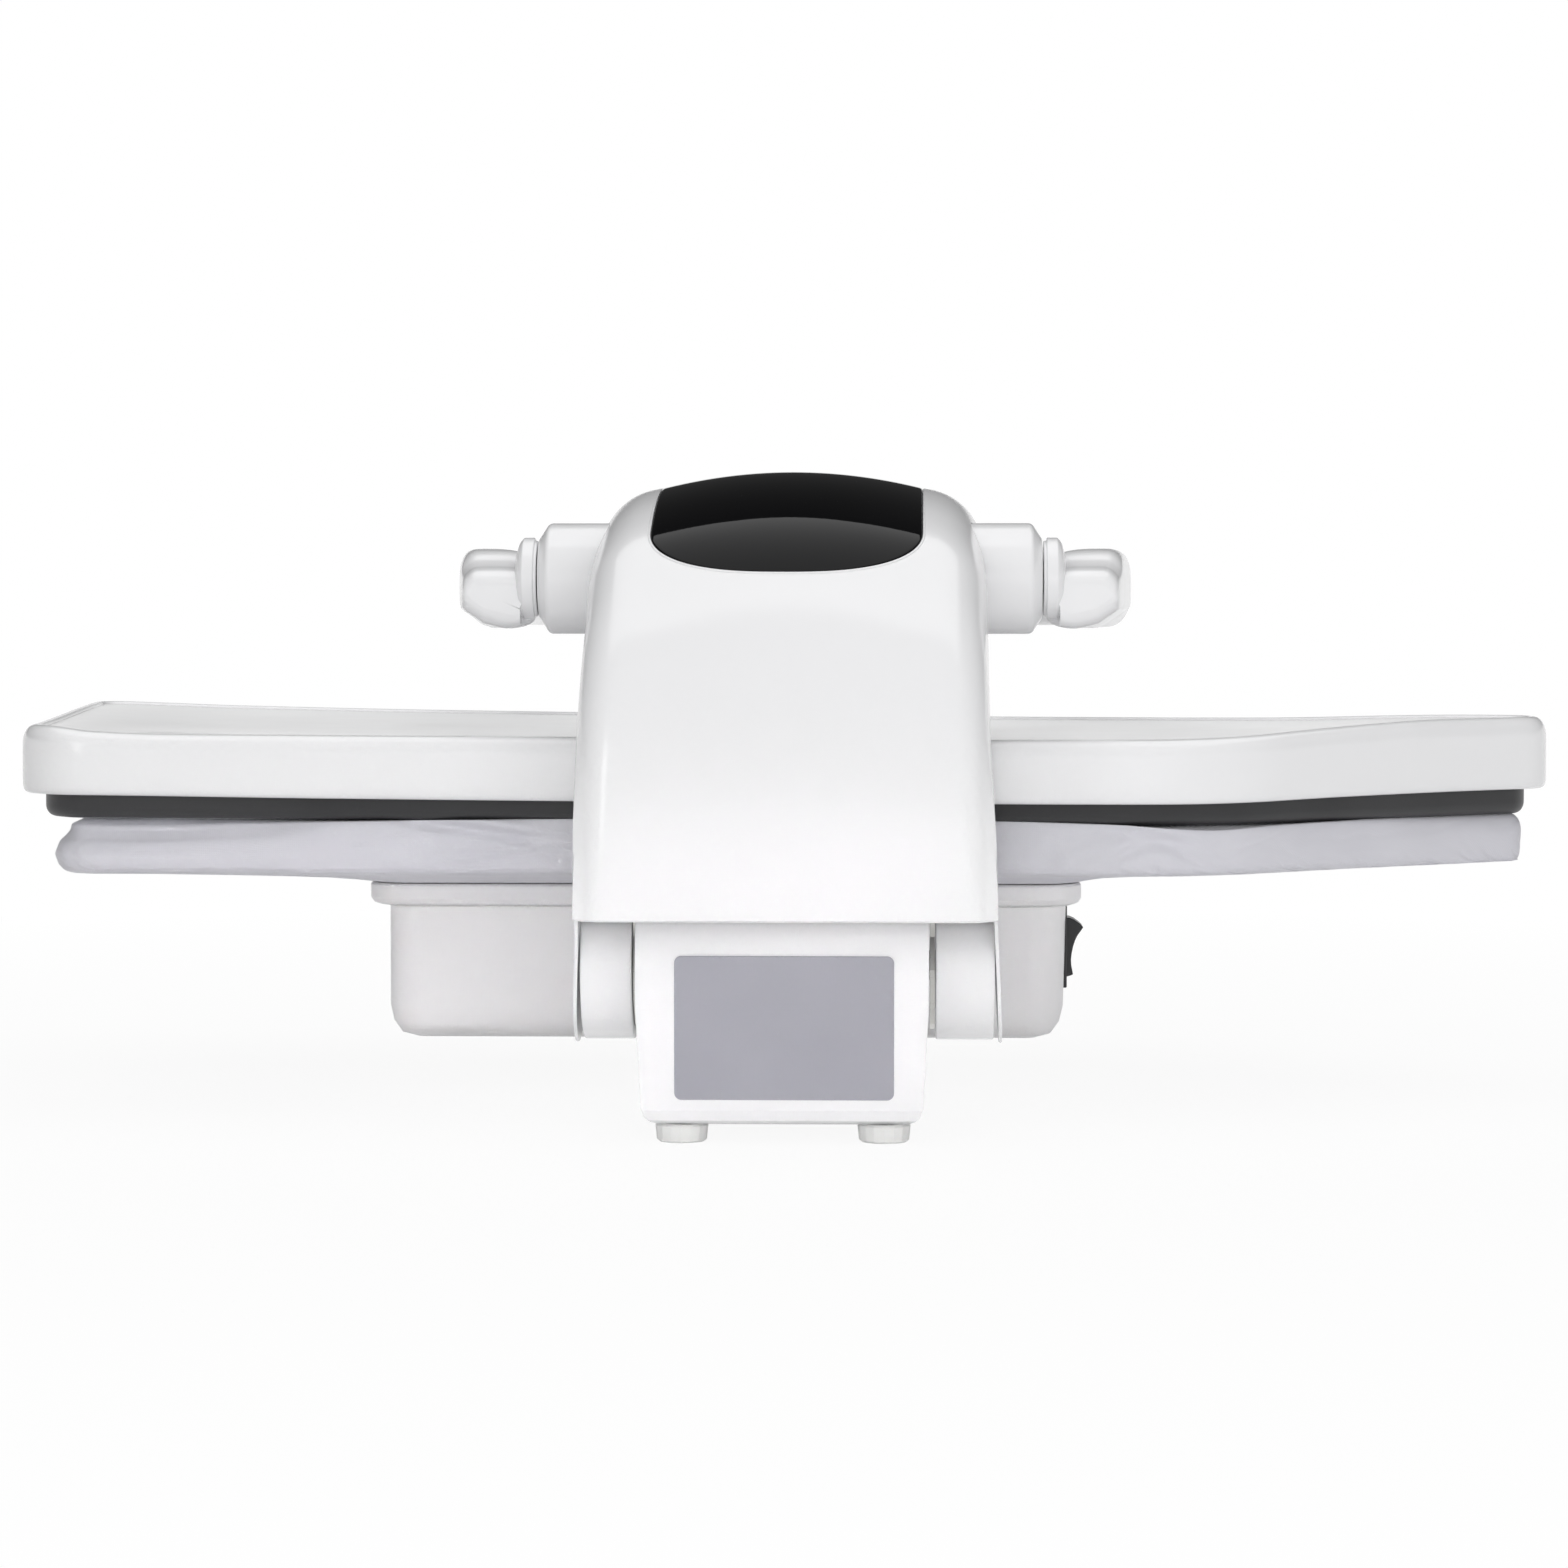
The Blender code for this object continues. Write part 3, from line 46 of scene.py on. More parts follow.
# Shapes are drawn about the middle of the arm hinge, whose axis stands 64 mm over the
# drawing's floor and 155 mm behind its origin; origin takes a drawn point to the table.
hingeY, hingeZ = 0.155, 0.064
origin = np.array(joints["arm_hinge"]["pos_m"]) - (0.0, hingeY, hingeZ)
pivotY, pivotZ = np.array(joints["handle_pivot"]["pos_m"])[1:] - origin[1:]
gap = 0.0003
plateTilt = 0.0057      # the floating plate stands this much higher per metre towards +X


def unit(vectors):
    # each vector divided by its own length
    return vectors / np.maximum(np.linalg.norm(vectors, axis=-1, keepdims=True), 1e-12)


def circle(steps):
    return np.linspace(0, 2 * np.pi, steps, endpoint=False)


def ease(low, high, value):
    # 0 up to low, 1 from high on, and 3t^2 - 2t^3 between them
    t = np.clip((value - low) / (high - low), 0.0, 1.0)
    return t * t * (3 - 2 * t)


def through(knots, places):
    # A smooth run through rows of knots, place 2.5 being half-way from knot 2 to knot 3:
    # the cubic whose slope at a knot is half the step between its two neighbours.
    knots = np.asarray(knots, float)
    first = np.clip(np.floor(places).astype(int), 0, len(knots) - 2)
    t = (np.asarray(places, float) - first)[:, None]
    a, b = knots[np.maximum(first - 1, 0)], knots[first]
    c, d = knots[first + 1], knots[np.minimum(first + 2, len(knots) - 1)]
    return b + 0.5 * t * ((c - a) + t * ((2 * a - 5 * b + 4 * c - d) + t * (3 * b - a - 3 * c + d)))


def waves(x, y, seed, count=9, longest=0.12, shortest=0.02):
    # A sum of sines with seeded headings and phases, shorter ones lower, in -1..1.
    dice = np.random.default_rng(seed)
    size = np.geomspace(longest, shortest, count)
    heading = dice.uniform(0, 2 * np.pi, count)
    phase = dice.uniform(0, 2 * np.pi, count)
    weight = size / size.sum()
    turn = 2 * np.pi / size
    return sum(w * np.sin(k * (x * np.cos(h) + y * np.sin(h)) + p)
               for w, k, h, p in zip(weight, turn, heading, phase)) * 1.8


def outline(corners, radii, inset=0.0, arcSteps=14, sideSteps=1):
    # A polygon (anticlockwise) moved in by inset, each corner an arc that touches both of its
    # sides: the arc's middle lies on the corner's bisector, radius / sin(half the corner) away,
    # and its points are mixed from the two touching radii by sines of the angle turned.
    corners, radii = np.asarray(corners, float), np.asarray(radii, float)
    before = unit(np.roll(corners, 1, 0) - corners)
    after = unit(np.roll(corners, -1, 0) - corners)
    half = np.arccos(np.clip((before * after).sum(1), -1, 1)) / 2
    bisector = unit(before + after)
    radius = np.maximum(radii - inset, 0.0006)
    moved = corners + bisector * (inset / np.sin(half))[:, None]
    middle = moved + bisector * (radius / np.sin(half))[:, None]
    start = moved + before * (radius / np.tan(half))[:, None] - middle
    end = moved + after * (radius / np.tan(half))[:, None] - middle
    turn = (np.pi - 2 * half)[:, None]
    t = np.linspace(0, 1, arcSteps)[None, :]
    arc = (np.sin((1 - t) * turn)[..., None] * start[:, None] + np.sin(t * turn)[..., None] * end[:, None])
    arc = middle[:, None] + arc / np.sin(turn)[..., None]
    if sideSteps > 1:
        s = (np.arange(1, sideSteps) / sideSteps)[None, :, None]
        side = arc[:, -1:] * (1 - s) + np.roll(arc[:, 0], -1, 0)[:, None] * s
        arc = np.concatenate([arc, side], 1)
    return arc.reshape(-1, 2)


def mm(rows, plain=0):
    # a table written in millimetres, whose last plain columns are other numbers
    table = np.array(rows, float)
    table[:, :table.shape[1] - plain] /= 1000
    return table


def rectangleCorners(low, high):
    return [(low[0], low[1]), (high[0], low[1]), (high[0], high[1]), (low[0], high[1])]


def newObject(name, points, faces):
    # points are drawn coordinates; the mesh holds their places on the table
    mesh = bpy.data.meshes.new(name)
    mesh.from_pydata((np.asarray(points).reshape(-1, 3) + origin).tolist(), [], faces)
    made = bpy.data.objects.new(name, mesh)
    bpy.context.scene.collection.objects.link(made)
    return made


def weld(mesh):
    # merge equal points, drop what has no size and turn all faces outwards
    work = bmesh.new()
    work.from_mesh(mesh)
    bmesh.ops.remove_doubles(work, verts=work.verts, dist=2e-6)
    bmesh.ops.dissolve_degenerate(work, edges=work.edges, dist=1e-7)
    bmesh.ops.recalc_face_normals(work, faces=work.faces)
    work.to_mesh(mesh)
    work.free()


def dress(piece, material, body, takes=(), slot=None, angle=38):
    # weld, smooth below the given angle, give the material and body and hide the replaced nodes; slot is not used
    weld(piece.data)
    piece.data.shade_smooth()
    piece.data.set_sharp_from_angle(angle=math.radians(angle))
    piece.data.materials.clear()
    piece.data.materials.append(material)
    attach(piece, body)
    if takes:
        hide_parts(*takes)
    return piece


def newPiece(name, points, faces, *finish, angle=38, uv=None):
    # finish is what dress takes: material, body, replaced nodes and slot
    piece = newObject(name, points, faces)
    if uv is not None:
        layer = piece.data.uv_layers.new(name="threads")
        corner = np.zeros(len(piece.data.loops), np.int32)
        piece.data.loops.foreach_get("vertex_index", corner)
        layer.data.foreach_set("uv", np.asarray(uv).reshape(-1, 2)[corner].ravel())
    return dress(piece, *finish, angle=angle)


def gridFaces(rows, columns, loop=False, ring=False):
    # quads between neighbouring points; a loop joins last and first column, a ring last and first row
    index = np.arange(rows * columns).reshape(rows, columns)
    if loop:
        index = np.hstack([index, index[:, :1]])
    if ring:
        index = np.vstack([index, index[:1]])
    return np.stack([index[:-1, :-1], index[:-1, 1:], index[1:, 1:], index[1:, :-1]], -1).reshape(-1, 4).tolist()


def closeEnds(grid):
    # each end row runs in to its own mean
    first, last = (np.repeat(row.mean(1, keepdims=True), grid.shape[1], 1) for row in (grid[:1], grid[-1:]))
    return np.concatenate([first, grid, last])


def tubeGrid(name, grid, *finish, angle=38, ring=False, uv=None):
    # rows are closed sections; they form a ring, or both ends are closed
    if not ring:
        grid = closeEnds(grid)
        uv = None if uv is None else np.concatenate([uv[:1], uv, uv[-1:]])
    return newPiece(name, grid, gridFaces(*grid.shape[:2], loop=True, ring=ring), *finish, angle=angle, uv=uv)


def lathe(name, profile, place, side, *finish, steps=72, angle=38):
    # A closed profile of (radius, distance along X) turned about an X line through place:
    # Y = radius cos a, Z = radius sin a, X = side times the distance.
    radius, reach = np.asarray(profile, float).T[..., None]
    a = circle(steps)
    grid = np.stack([place[0] + side * reach + 0 * a, place[1] + radius * np.cos(a),
                     place[2] + radius * np.sin(a)], -1)
    return tubeGrid(name, grid, *finish, angle=angle, ring=True)


def shell(name, outer, wall, *finish, angle=38, upright=0.0):
    # A skin becomes a wall: each point has a partner further in along the grid's own normal,
    # and the border runs over a middle line that stands out by a third of the wall. Where
    # upright is 1, the normal is plus or minus X instead.
    normal = unit(np.cross(np.gradient(outer, axis=0), np.gradient(outer, axis=1)))
    if (normal * (outer - outer.reshape(-1, 3).mean(0))).sum() < 0:
        normal = -normal
    share = np.broadcast_to(upright, outer.shape[:2])[..., None]
    sideways = np.sign(outer[..., :1]) * (1.0, 0.0, 0.0)
    normal = unit(normal * (1 - share) + sideways * share)
    inner = outer - normal * np.asarray(wall)[..., None]
    rows, columns = outer.shape[:2]
    index = np.arange(rows * columns).reshape(rows, columns)
    border = np.concatenate([index[0, :-1], index[:-1, -1], index[-1, :0:-1], index[:0:-1, 0]])
    inside = np.concatenate([index[1, :-1], index[:-1, -2], index[-2, :0:-1], index[:0:-1, 1]])
    flat, flatInner = outer.reshape(-1, 3), inner.reshape(-1, 3)
    out = unit(flat[border] - flat[inside])
    thick = np.linalg.norm(flat[border] - flatInner[border], axis=1)[:, None]
    lip = (flat[border] + flatInner[border]) / 2 + out * thick * 0.3
    count = rows * columns
    faces = gridFaces(rows, columns)
    faces += [[count + v for v in reversed(face)] for face in faces]
    a, b = border, np.roll(border, -1)
    c = 2 * count + np.arange(len(border))
    d = np.roll(c, -1)
    faces += np.stack([a, b, d, c], -1).tolist() + np.stack([c, d, b + count, a + count], -1).tolist()
    return newPiece(name, np.concatenate([flat, flatInner, lip]), faces, *finish, angle=angle)


def loose(name, grid):
    # a closed solid that only serves as a tool
    grid = closeEnds(grid)
    tool = newObject(name, grid, gridFaces(*grid.shape[:2], loop=True))
    weld(tool.data)
    return tool


def carve(piece, tools):
    # cut each tool out of the piece, leave the result in its mesh and remove the tools
    for tool in tools:
        cut = piece.modifiers.new("cut", "BOOLEAN")
        cut.object = tool
        cut.solver = "EXACT"
    bpy.context.view_layer.update()
    made = bpy.data.meshes.new_from_object(piece.evaluated_get(bpy.context.evaluated_depsgraph_get()))
    piece.modifiers.clear()
    old, name = piece.data, piece.data.name
    piece.data = made
    bpy.data.meshes.remove(old)
    made.name = name
    for tool in tools:
        bpy.data.objects.remove(tool)


def plug(node, inputs):
    # an input is a number, a vector, a colour or another node's socket
    for key, value in inputs.items():
        socket = node.inputs[key]
        if isinstance(value, bpy.types.NodeSocket):
            node.id_data.links.new(value, socket)
        else:
            socket.default_value = (*value, 1.0) if socket.type == "RGBA" else value


def addNode(tree, kind, inputs=None, **settings):
    node = tree.nodes.new("ShaderNode" + kind)
    for key, value in settings.items():
        setattr(node, key, value)
    plug(node, inputs or {})
    return node


def calculate(tree, operation, *values):
    return addNode(tree, "Math", dict(enumerate(values)), operation=operation).outputs[0]


def noise(tree, position, scale, detail):
    return addNode(tree, "TexNoise", {"Vector": position, "Scale": scale, "Detail": detail}).outputs["Fac"]


def stretched(tree, position, scale, turn=(0.0, 0.0, 0.0)):
    return addNode(tree, "Mapping", {"Vector": position, "Rotation": turn, "Scale": scale}).outputs[0]


def ranged(tree, value, low, high, fromLow=0.0, fromHigh=1.0, **settings):
    # the run of value from fromLow to fromHigh becomes a run from low to high
    return addNode(tree, "MapRange", {"Value": value, "From Min": fromLow, "From Max": fromHigh,
                                      "To Min": low, "To Max": high}, **settings).outputs[0]


def mixColours(tree, factor, first, second):
    # sockets 6, 7 and 2 are the mix node's colours
    return addNode(tree, "Mix", {0: factor, 6: first, 7: second}, data_type="RGBA").outputs[2]


def bumped(tree, height, strength, distance):
    return addNode(tree, "Bump", {"Height": height, "Strength": strength, "Distance": distance}).outputs["Normal"]


def newGroup(name, inputs):
    # inputs by name: a number's usual value, or None for a vector
    group = bpy.data.node_groups.new(name, "ShaderNodeTree")
    for title, value in inputs.items():
        kind = "NodeSocketVector" if value is None else "NodeSocketFloat"
        socket = group.interface.new_socket(name=title, in_out="INPUT", socket_type=kind)
        if value is not None:
            socket.default_value = value
    return group, group.nodes.new("NodeGroupInput").outputs


def giveOut(group, **results):
    for title in results:
        group.interface.new_socket(name=title, in_out="OUTPUT", socket_type="NodeSocketFloat")
    plug(group.nodes.new("NodeGroupOutput"), results)
    return group


def makeMouldedSkin():
    # The grain of a moulded or painted surface, how its tone drifts and where it is smeared.
    group, given = newGroup("mouldedSkin", {"Position": None, "Grain Size": 0.0012, "Drift Size": 0.12})
    grain, drift = (noise(group, given["Position"], calculate(group, "DIVIDE", 1.0, given[size]), detail)
                    for size, detail in (("Grain Size", 2.0), ("Drift Size", 3.0)))
    return giveOut(group, Height=grain, Tone=ranged(group, drift, 0.0, 1.0, 0.35, 0.65),
                   Smear=noise(group, given["Position"], 18.0, 2.0))


def makeHandlingMarks():
    # Hair-thin rubs from handling: stretched noise cut off high, in two directions, in patches.
    group, given = newGroup("handlingMarks", {"Position": None, "Amount": 0.5})
    marks = []
    for angle, length in ((0.5, 56.0), (-0.9, 80.0)):
        turned = stretched(group, given["Position"], (length, 900.0, 900.0), (0.3, angle, angle))
        marks.append(ranged(group, noise(group, turned, 1.6, 3.0), 0.0, 1.0, 0.66, 0.8))
    patch = ranged(group, noise(group, given["Position"], 30.0, 2.0), 0.0, 1.0, 0.45, 0.7)
    kept = calculate(group, "MULTIPLY", calculate(group, "MAXIMUM", *marks), patch)
    return giveOut(group, Marks=calculate(group, "MULTIPLY", kept, given["Amount"]))


def makePlainWeave():
    # Plain weave over a pair of lengths in metres: two sine ridges per pitch, of which the
    # checkerboard of crossings decides which is on top.
    group, given = newGroup("plainWeave", {"Threads": None, "Pitch": 0.0007})
    perMetre = calculate(group, "DIVIDE", 2 * math.pi, given["Pitch"])
    run = addNode(group, "SeparateXYZ", {0: given["Threads"]}).outputs
    wave = [calculate(group, "SINE", calculate(group, "MULTIPLY", run[axis], perMetre)) for axis in (0, 1)]
    cross = calculate(group, "MULTIPLY", *wave)
    return giveOut(group, Height=calculate(group, "ADD", cross, calculate(group, "MAXIMUM", *wave)), Cross=cross)


mouldedSkin = makeMouldedSkin()
handlingMarks = makeHandlingMarks()
plainWeave = makePlainWeave()


def placed(tree, group, **inputs):
    # a node group with its own values; grainSize stands for its input Grain Size, and so on
    names = {"grainSize": "Grain Size", "driftSize": "Drift Size"}
    return addNode(tree, "Group", {names.get(key, key.capitalize()): value for key, value in inputs.items()},
                   node_tree=group).outputs


def newMaterial(name, **values):
    # a material with its Principled shader; constant values go on the shader's own sockets
    material = bpy.data.materials.new(name)
    material.use_nodes = True
    tree = material.node_tree
    shader = tree.nodes["Principled BSDF"]
    plug(shader, values)
    return material, tree, shader, addNode(tree, "TexCoord").outputs["Object"]


def surfaceMaterial(name, colour, shade, rough, grainSize=0.0012, driftSize=0.12, grain=0.1, marks=0.3,
                    brush=None, **values):
    # Tone drifts from shade to colour, and gloss varies with smears and rubs. With a brush, a
    # drawn or cast grain, noise stretched by its three scales, stands in for the smears.
    material, tree, shader, position = newMaterial(name, **values)
    skin = placed(tree, mouldedSkin, position=position, grainSize=grainSize, driftSize=driftSize)
    rubs = placed(tree, handlingMarks, position=position, amount=marks)
    gloss, relief, depth = skin["Smear"], skin["Height"], 0.0001
    if brush:
        gloss = relief = noise(tree, stretched(tree, position, brush), 30.0, 4.0)
        depth = 0.0002
    base = ranged(tree, gloss, *rough, 0.3, 0.7)
    plug(shader, {"Base Color": mixColours(tree, skin["Tone"], shade, colour),
                  "Roughness": calculate(tree, "MULTIPLY_ADD", rubs["Marks"], 0.1, base),
                  "Normal": bumped(tree, relief, grain, depth)})
    return material


def fabricMaterial(name, colour, shade, rough):
    # Woven cover: threads follow the piece's own map and dye drifts; the weave's crossings are painted lighter and
    # darker, a painted highlight and shade of the threads.
    material, tree, shader, position = newMaterial(name, **{"Sheen Weight": 0.25, "Sheen Roughness": 0.4})
    threads = addNode(tree, "UVMap", uv_map="threads").outputs[0]
    weave = placed(tree, plainWeave, threads=threads, pitch=0.0008)
    skin = placed(tree, mouldedSkin, position=position, grainSize=0.004, driftSize=0.09)
    dyed = mixColours(tree, skin["Tone"], shade, colour)
    # painted shade: the dyed colour is mixed towards this darker one where the weave's cross value is high
    weaveShadeColour = [0.86 * value for value in shade]
    paintedWeaveShade = ranged(tree, weave["Cross"], 1.0, 0.72, -1.0, 1.0)
    slub = calculate(tree, "MULTIPLY_ADD", skin["Height"], 1.5, weave["Height"])
    plug(shader, {"Base Color": mixColours(tree, paintedWeaveShade, weaveShadeColour, dyed),
                  "Roughness": ranged(tree, skin["Smear"], *rough, 0.3, 0.7),
                  "Normal": bumped(tree, slub, 0.22, 0.00012)})
    return material


def boardMaterial():
    # green lacquer over brick-shaped copper runs
    material, tree, shader, position = newMaterial("circuitGreen")
    tracks = addNode(tree, "TexBrick", {"Vector": position, "Scale": 60.0, "Mortar Size": 0.012,
                                        "Color1": (0.012, 0.16, 0.05), "Color2": (0.015, 0.19, 0.06),
                                        "Mortar": (0.05, 0.33, 0.12)}).outputs
    smear = placed(tree, mouldedSkin, position=position)["Smear"]
    plug(shader, {"Base Color": tracks["Color"], "Roughness": ranged(tree, smear, 0.25, 0.42, 0.3, 0.7),
                  "Normal": bumped(tree, tracks["Fac"], 0.3, 0.00005)})
    return material


metal = {"grainSize": 0.0009, "driftSize": 0.03, "grain": 0.12, "marks": 0.5, "Metallic": 1.0}
whiteShell = surfaceMaterial("whiteShell", (0.862, 0.862, 0.872), (0.856, 0.856, 0.866), (0.175, 0.195),
                             grain=0.015, marks=0.06, **{"IOR": 1.5, "Coat Weight": 0.15, "Coat Roughness": 0.08})
whiteSatin = surfaceMaterial("whiteSatin", (0.9, 0.893, 0.896), (0.885, 0.878, 0.881), (0.3, 0.38), grain=0.2)
blackGlass = surfaceMaterial("blackGlass", (0.0035, 0.0035, 0.004), (0.0025, 0.0025, 0.003), (0.03, 0.05),
                             grain=0.02, marks=0.15, **{"IOR": 1.45, "Specular IOR Level": 0.14})
blackResin = surfaceMaterial("blackResin", (0.026, 0.026, 0.028), (0.018, 0.018, 0.02), (0.36, 0.5),
                             grainSize=0.0007, grain=0.35, marks=0.5)
blackSwitch = surfaceMaterial("blackSwitch", (0.02, 0.02, 0.022), (0.014, 0.014, 0.016), (0.28, 0.36), grain=0.15)
rubberWhite = surfaceMaterial("rubberWhite", (0.82, 0.82, 0.81), (0.76, 0.76, 0.75), (0.55, 0.7), grain=0.4)
smokeTank = surfaceMaterial("smokeTank", (0.55, 0.62, 0.7), (0.5, 0.57, 0.65), (0.1, 0.2), grain=0.05,
                            **{"Transmission Weight": 0.55, "IOR": 1.45})
plateSilver = surfaceMaterial("plateSilver", (0.39, 0.39, 0.43), (0.34, 0.34, 0.38), (0.38, 0.46), grain=0.05,
                              marks=0.4, Metallic=0.5)
zincSteel = surfaceMaterial("zincSteel", (0.66, 0.66, 0.63), (0.52, 0.52, 0.5), (0.26, 0.42), brush=(1, 60, 60),
                            **metal)
castAluminium = surfaceMaterial("castAluminium", (0.76, 0.77, 0.78), (0.66, 0.67, 0.68), (0.3, 0.42),
                                brush=(20, 20, 20), **metal)
turnedBrass = surfaceMaterial("turnedBrass", (0.8, 0.62, 0.3), (0.7, 0.52, 0.24), (0.24, 0.38), brush=(60, 4, 4),
                              **metal)
padCloth = fabricMaterial("padCloth", (0.71, 0.705, 0.75), (0.65, 0.645, 0.7), (0.42, 0.55))
# The hem's cloth is a rougher cloth of about the pad's tone, painted lighter: painted light that lifts it out of
# the shade under the pad.
hemClothPaintedLighter = fabricMaterial("hemClothPaintedLighter", (0.8, 0.79, 0.85), (0.72, 0.71, 0.78), (0.55, 0.7))
circuitGreen = boardMaterial()
print("materials:", len(bpy.data.materials))

keptNodes = {
    whiteShell: ["tank_front"],
    whiteSatin: ["base_pan"],
    blackSwitch: ["switch_bezel", "steam_button", "cord_gland", "water_pump"],
    rubberWhite: ["foot_rear_left", "foot_rear_right", "foot_front_left", "foot_front_right", "tank_plug"],
    smokeTank: ["water_tank"],
    zincSteel: ["hinge_shaft", "torsion_spring_left", "torsion_spring_right", "arm_frame", "press_shaft",
                "press_crank_left", "press_crank_right", "plate_carrier", "guide_rod_left", "guide_rod_right"],
    castAluminium: ["board_plate"],
    turnedBrass: ["pivot_bush_left", "pivot_bush_right"],
    circuitGreen: ["display_board", "control_board"],
}
for material, names in keptNodes.items():
    for name in names:
        nodes[name].data.materials.clear()
        nodes[name].data.materials.append(material)


hood = {
    # Y, Z on the crest; Y, Z of the lower edge; half width above and below; crown; corner
    "stations": mm([
        (215, 86, 197.5, 86, 83.2, 84.4, 1, 13),
        (214.8, 108, 186.8, 69, 82.6, 84.8, 1.2, 14),
        (213.5, 132, 179, 45, 82.1, 85.3, 1.6, 15),
        (210, 156, 155, 33, 81.6, 85.6, 2.2, 16),
        (203, 179, 131, 45, 81.1, 85.3, 3, 17.5),
        (191.5, 201, 123.5, 69, 80.6, 84.8, 4.2, 19.5),
        (175, 221.5, 123.2, 106, 80.2, 84, 5.6, 22),
        (152, 239, 123, 143, 81.1, 83.2, 5.4, 25),
        (123, 252, 116, 166.5, 80.9, 82, 6.2, 26.5),
        (90, 260.5, 86, 166.5, 80.8, 81.5, 6.6, 27),
        (55, 264.5, 55, 166.5, 80.7, 81.2, 6.6, 27),
        (20, 262, 24, 166.5, 80.5, 81, 6.6, 27),
        (-11, 251, -4, 166.5, 80, 80.4, 6.4, 27),
        (-34, 230, -25, 166.5, 77.8, 79.4, 7.4, 26),
        (-45, 200, -33, 166.5, 76.5, 78.2, 6.6, 25),
        (-48, 166.5, -21, 166.5, 75, 76.8, 6, 24)]),
    "rows": 180,
    "crownSteps": 12, "cornerSteps": 14, "sideSteps": 22,
    "wall": 0.0025, "earWall": 0.0014,
    "bossHole": 0.0233, "bossSpan": (0.06, 0.105),
    # Z and half width of the even flank below the turn, and how far it lies to the switch's side
    "flank": mm([(33, 85.8), (60, 84.6), (86, 83.3), (105, 83.1), (130, 82.7), (165, 82)]),
    "offset": -0.0013,
    # from and to which Z, and which half width, the flank and the thin ear take over
    "flankZ": (0.165, 0.12), "flankX": (0.079, 0.081), "offsetZ": (0.17, 0.09),
    "earZ": (0.125, 0.085), "earX": (0.079, 0.0825),
}


def hoodFrame(place):
    # the station at each place and the crest's outward normal in Y and Z
    here = through(hood["stations"], place)
    last = len(hood["stations"]) - 1
    ahead, behind = (through(hood["stations"], np.clip(place + step, 0, last)) for step in (0.02, -0.02))
    slope = unit((ahead - behind)[:, :2])
    return here, np.stack([slope[:, 1], -slope[:, 0]], -1)


def hoodGrid():
    # Each section goes out from the crest over a crown (sink = crown t^2), round a quarter
    # circle of the corner's radius, and in a straight line to the lower edge, then mirrored.
    # Averaging each point with its neighbours twice eases the joins of the three runs.
    place = np.linspace(0, len(hood["stations"]) - 1, hood["rows"])
    here, normal = hoodFrame(place)
    top, low, crown, corner = (here[:, k:k + 1] for k in (4, 5, 6, 7))
    flat = top - corner
    t = np.linspace(0, 1, hood["crownSteps"], endpoint=False)[None]
    a = np.linspace(0, np.pi / 2, hood["cornerSteps"], endpoint=False)[None]
    s = np.linspace(0, 1, hood["sideSteps"])[None]
    x = np.hstack([flat * t, flat + corner * np.sin(a), top + (low - top) * s])
    sink = np.hstack([crown * t ** 2, crown + corner * (1 - np.cos(a)), crown + corner + 0 * s])
    y = here[:, :1] - normal[:, :1] * sink
    z = here[:, 1:2] - normal[:, 1:] * sink
    side = slice(hood["crownSteps"] + hood["cornerSteps"], None)
    y[:, side] = y[:, side] * (1 - s) + here[:, 2:3] * s
    z[:, side] = z[:, side] * (1 - s) + here[:, 3:4] * s
    half = np.stack([x, y, z], -1)
    whole = np.concatenate([half[:, :0:-1] * (-1, 1, 1), half], 1)
    for k in range(2):
        whole[:, 1:-1] = (whole[:, :-2] + 2 * whole[:, 1:-1] + whole[:, 2:]) / 4
    # below the turn the flank is one even slope: X is read off the height alone
    x, z = whole[..., 0], whole[..., 2]
    flank = np.interp(z, *np.transpose(hood["flank"])) * np.sign(x)
    share = ease(*hood["flankZ"], z) * ease(*hood["flankX"], abs(x))
    whole[..., 0] = x * (1 - share) + flank * share + hood["offset"] * ease(*hood["offsetZ"], z)
    return whole


def makeHood():
    skin = hoodGrid()
    lower = ease(*hood["earZ"], skin[..., 2]) * ease(*hood["earX"], abs(skin[..., 0]))
    wall = hood["wall"] + (hood["earWall"] - hood["wall"]) * lower
    piece = shell("armHood", skin, wall, whiteShell, "arm", ["arm_cover"], "white_abs", upright=lower)
    a = circle(72)
    holes = []
    for side in (1, -1):
        x = side * np.array(hood["bossSpan"])[:, None]
        ring = np.stack([x + 0 * a, pivotY + hood["bossHole"] * np.cos(a) + 0 * x,
                         pivotZ + hood["bossHole"] * np.sin(a) + 0 * x], -1)
        holes.append(loose("bossHole", ring))
    recess = loose("panelRecess", panelGrid(*panel["recess"]))
    carve(piece, [recess, *holes])
    dress(piece, whiteShell, "arm", angle=30)


panel = {
    "start": 0.1462, "end": 0.3815,      # along the crest from the hood's rear edge
    "half": 0.055,
    "endLength": 0.037, "squareness": 2.4,
    "thickness": 0.0013, "edge": 0.0009, "proud": 0.0003,
    "recess": (0.0004, 0.006, -0.0016),  # margin, top and bottom of the seat cut in the hood
    "lip": 0.00055, "lipMargin": 0.0006,
}


def crestPlaces(distance):
    # station places at distances along the crest, by its length measured in small steps
    fine = np.linspace(0, len(hood["stations"]) - 1, 1200)
    spine = through(hood["stations"], fine)[:, :2]
    length = np.concatenate([[0], np.cumsum(np.linalg.norm(np.diff(spine, axis=0), axis=1))])
    return np.interp(distance, length, fine)


def hoodSkin(place, x, lift):
    # points over the crowned strip, lift metres out along the crest's normal
    here, normal = hoodFrame(place)
    flat = here[:, 4:5] - here[:, 7:8]
    out = lift - here[:, 6:7] * (x / flat) ** 2
    return np.stack([x, here[:, :1] + normal[:, :1] * out, here[:, 1:2] + normal[:, 1:] * out], -1)


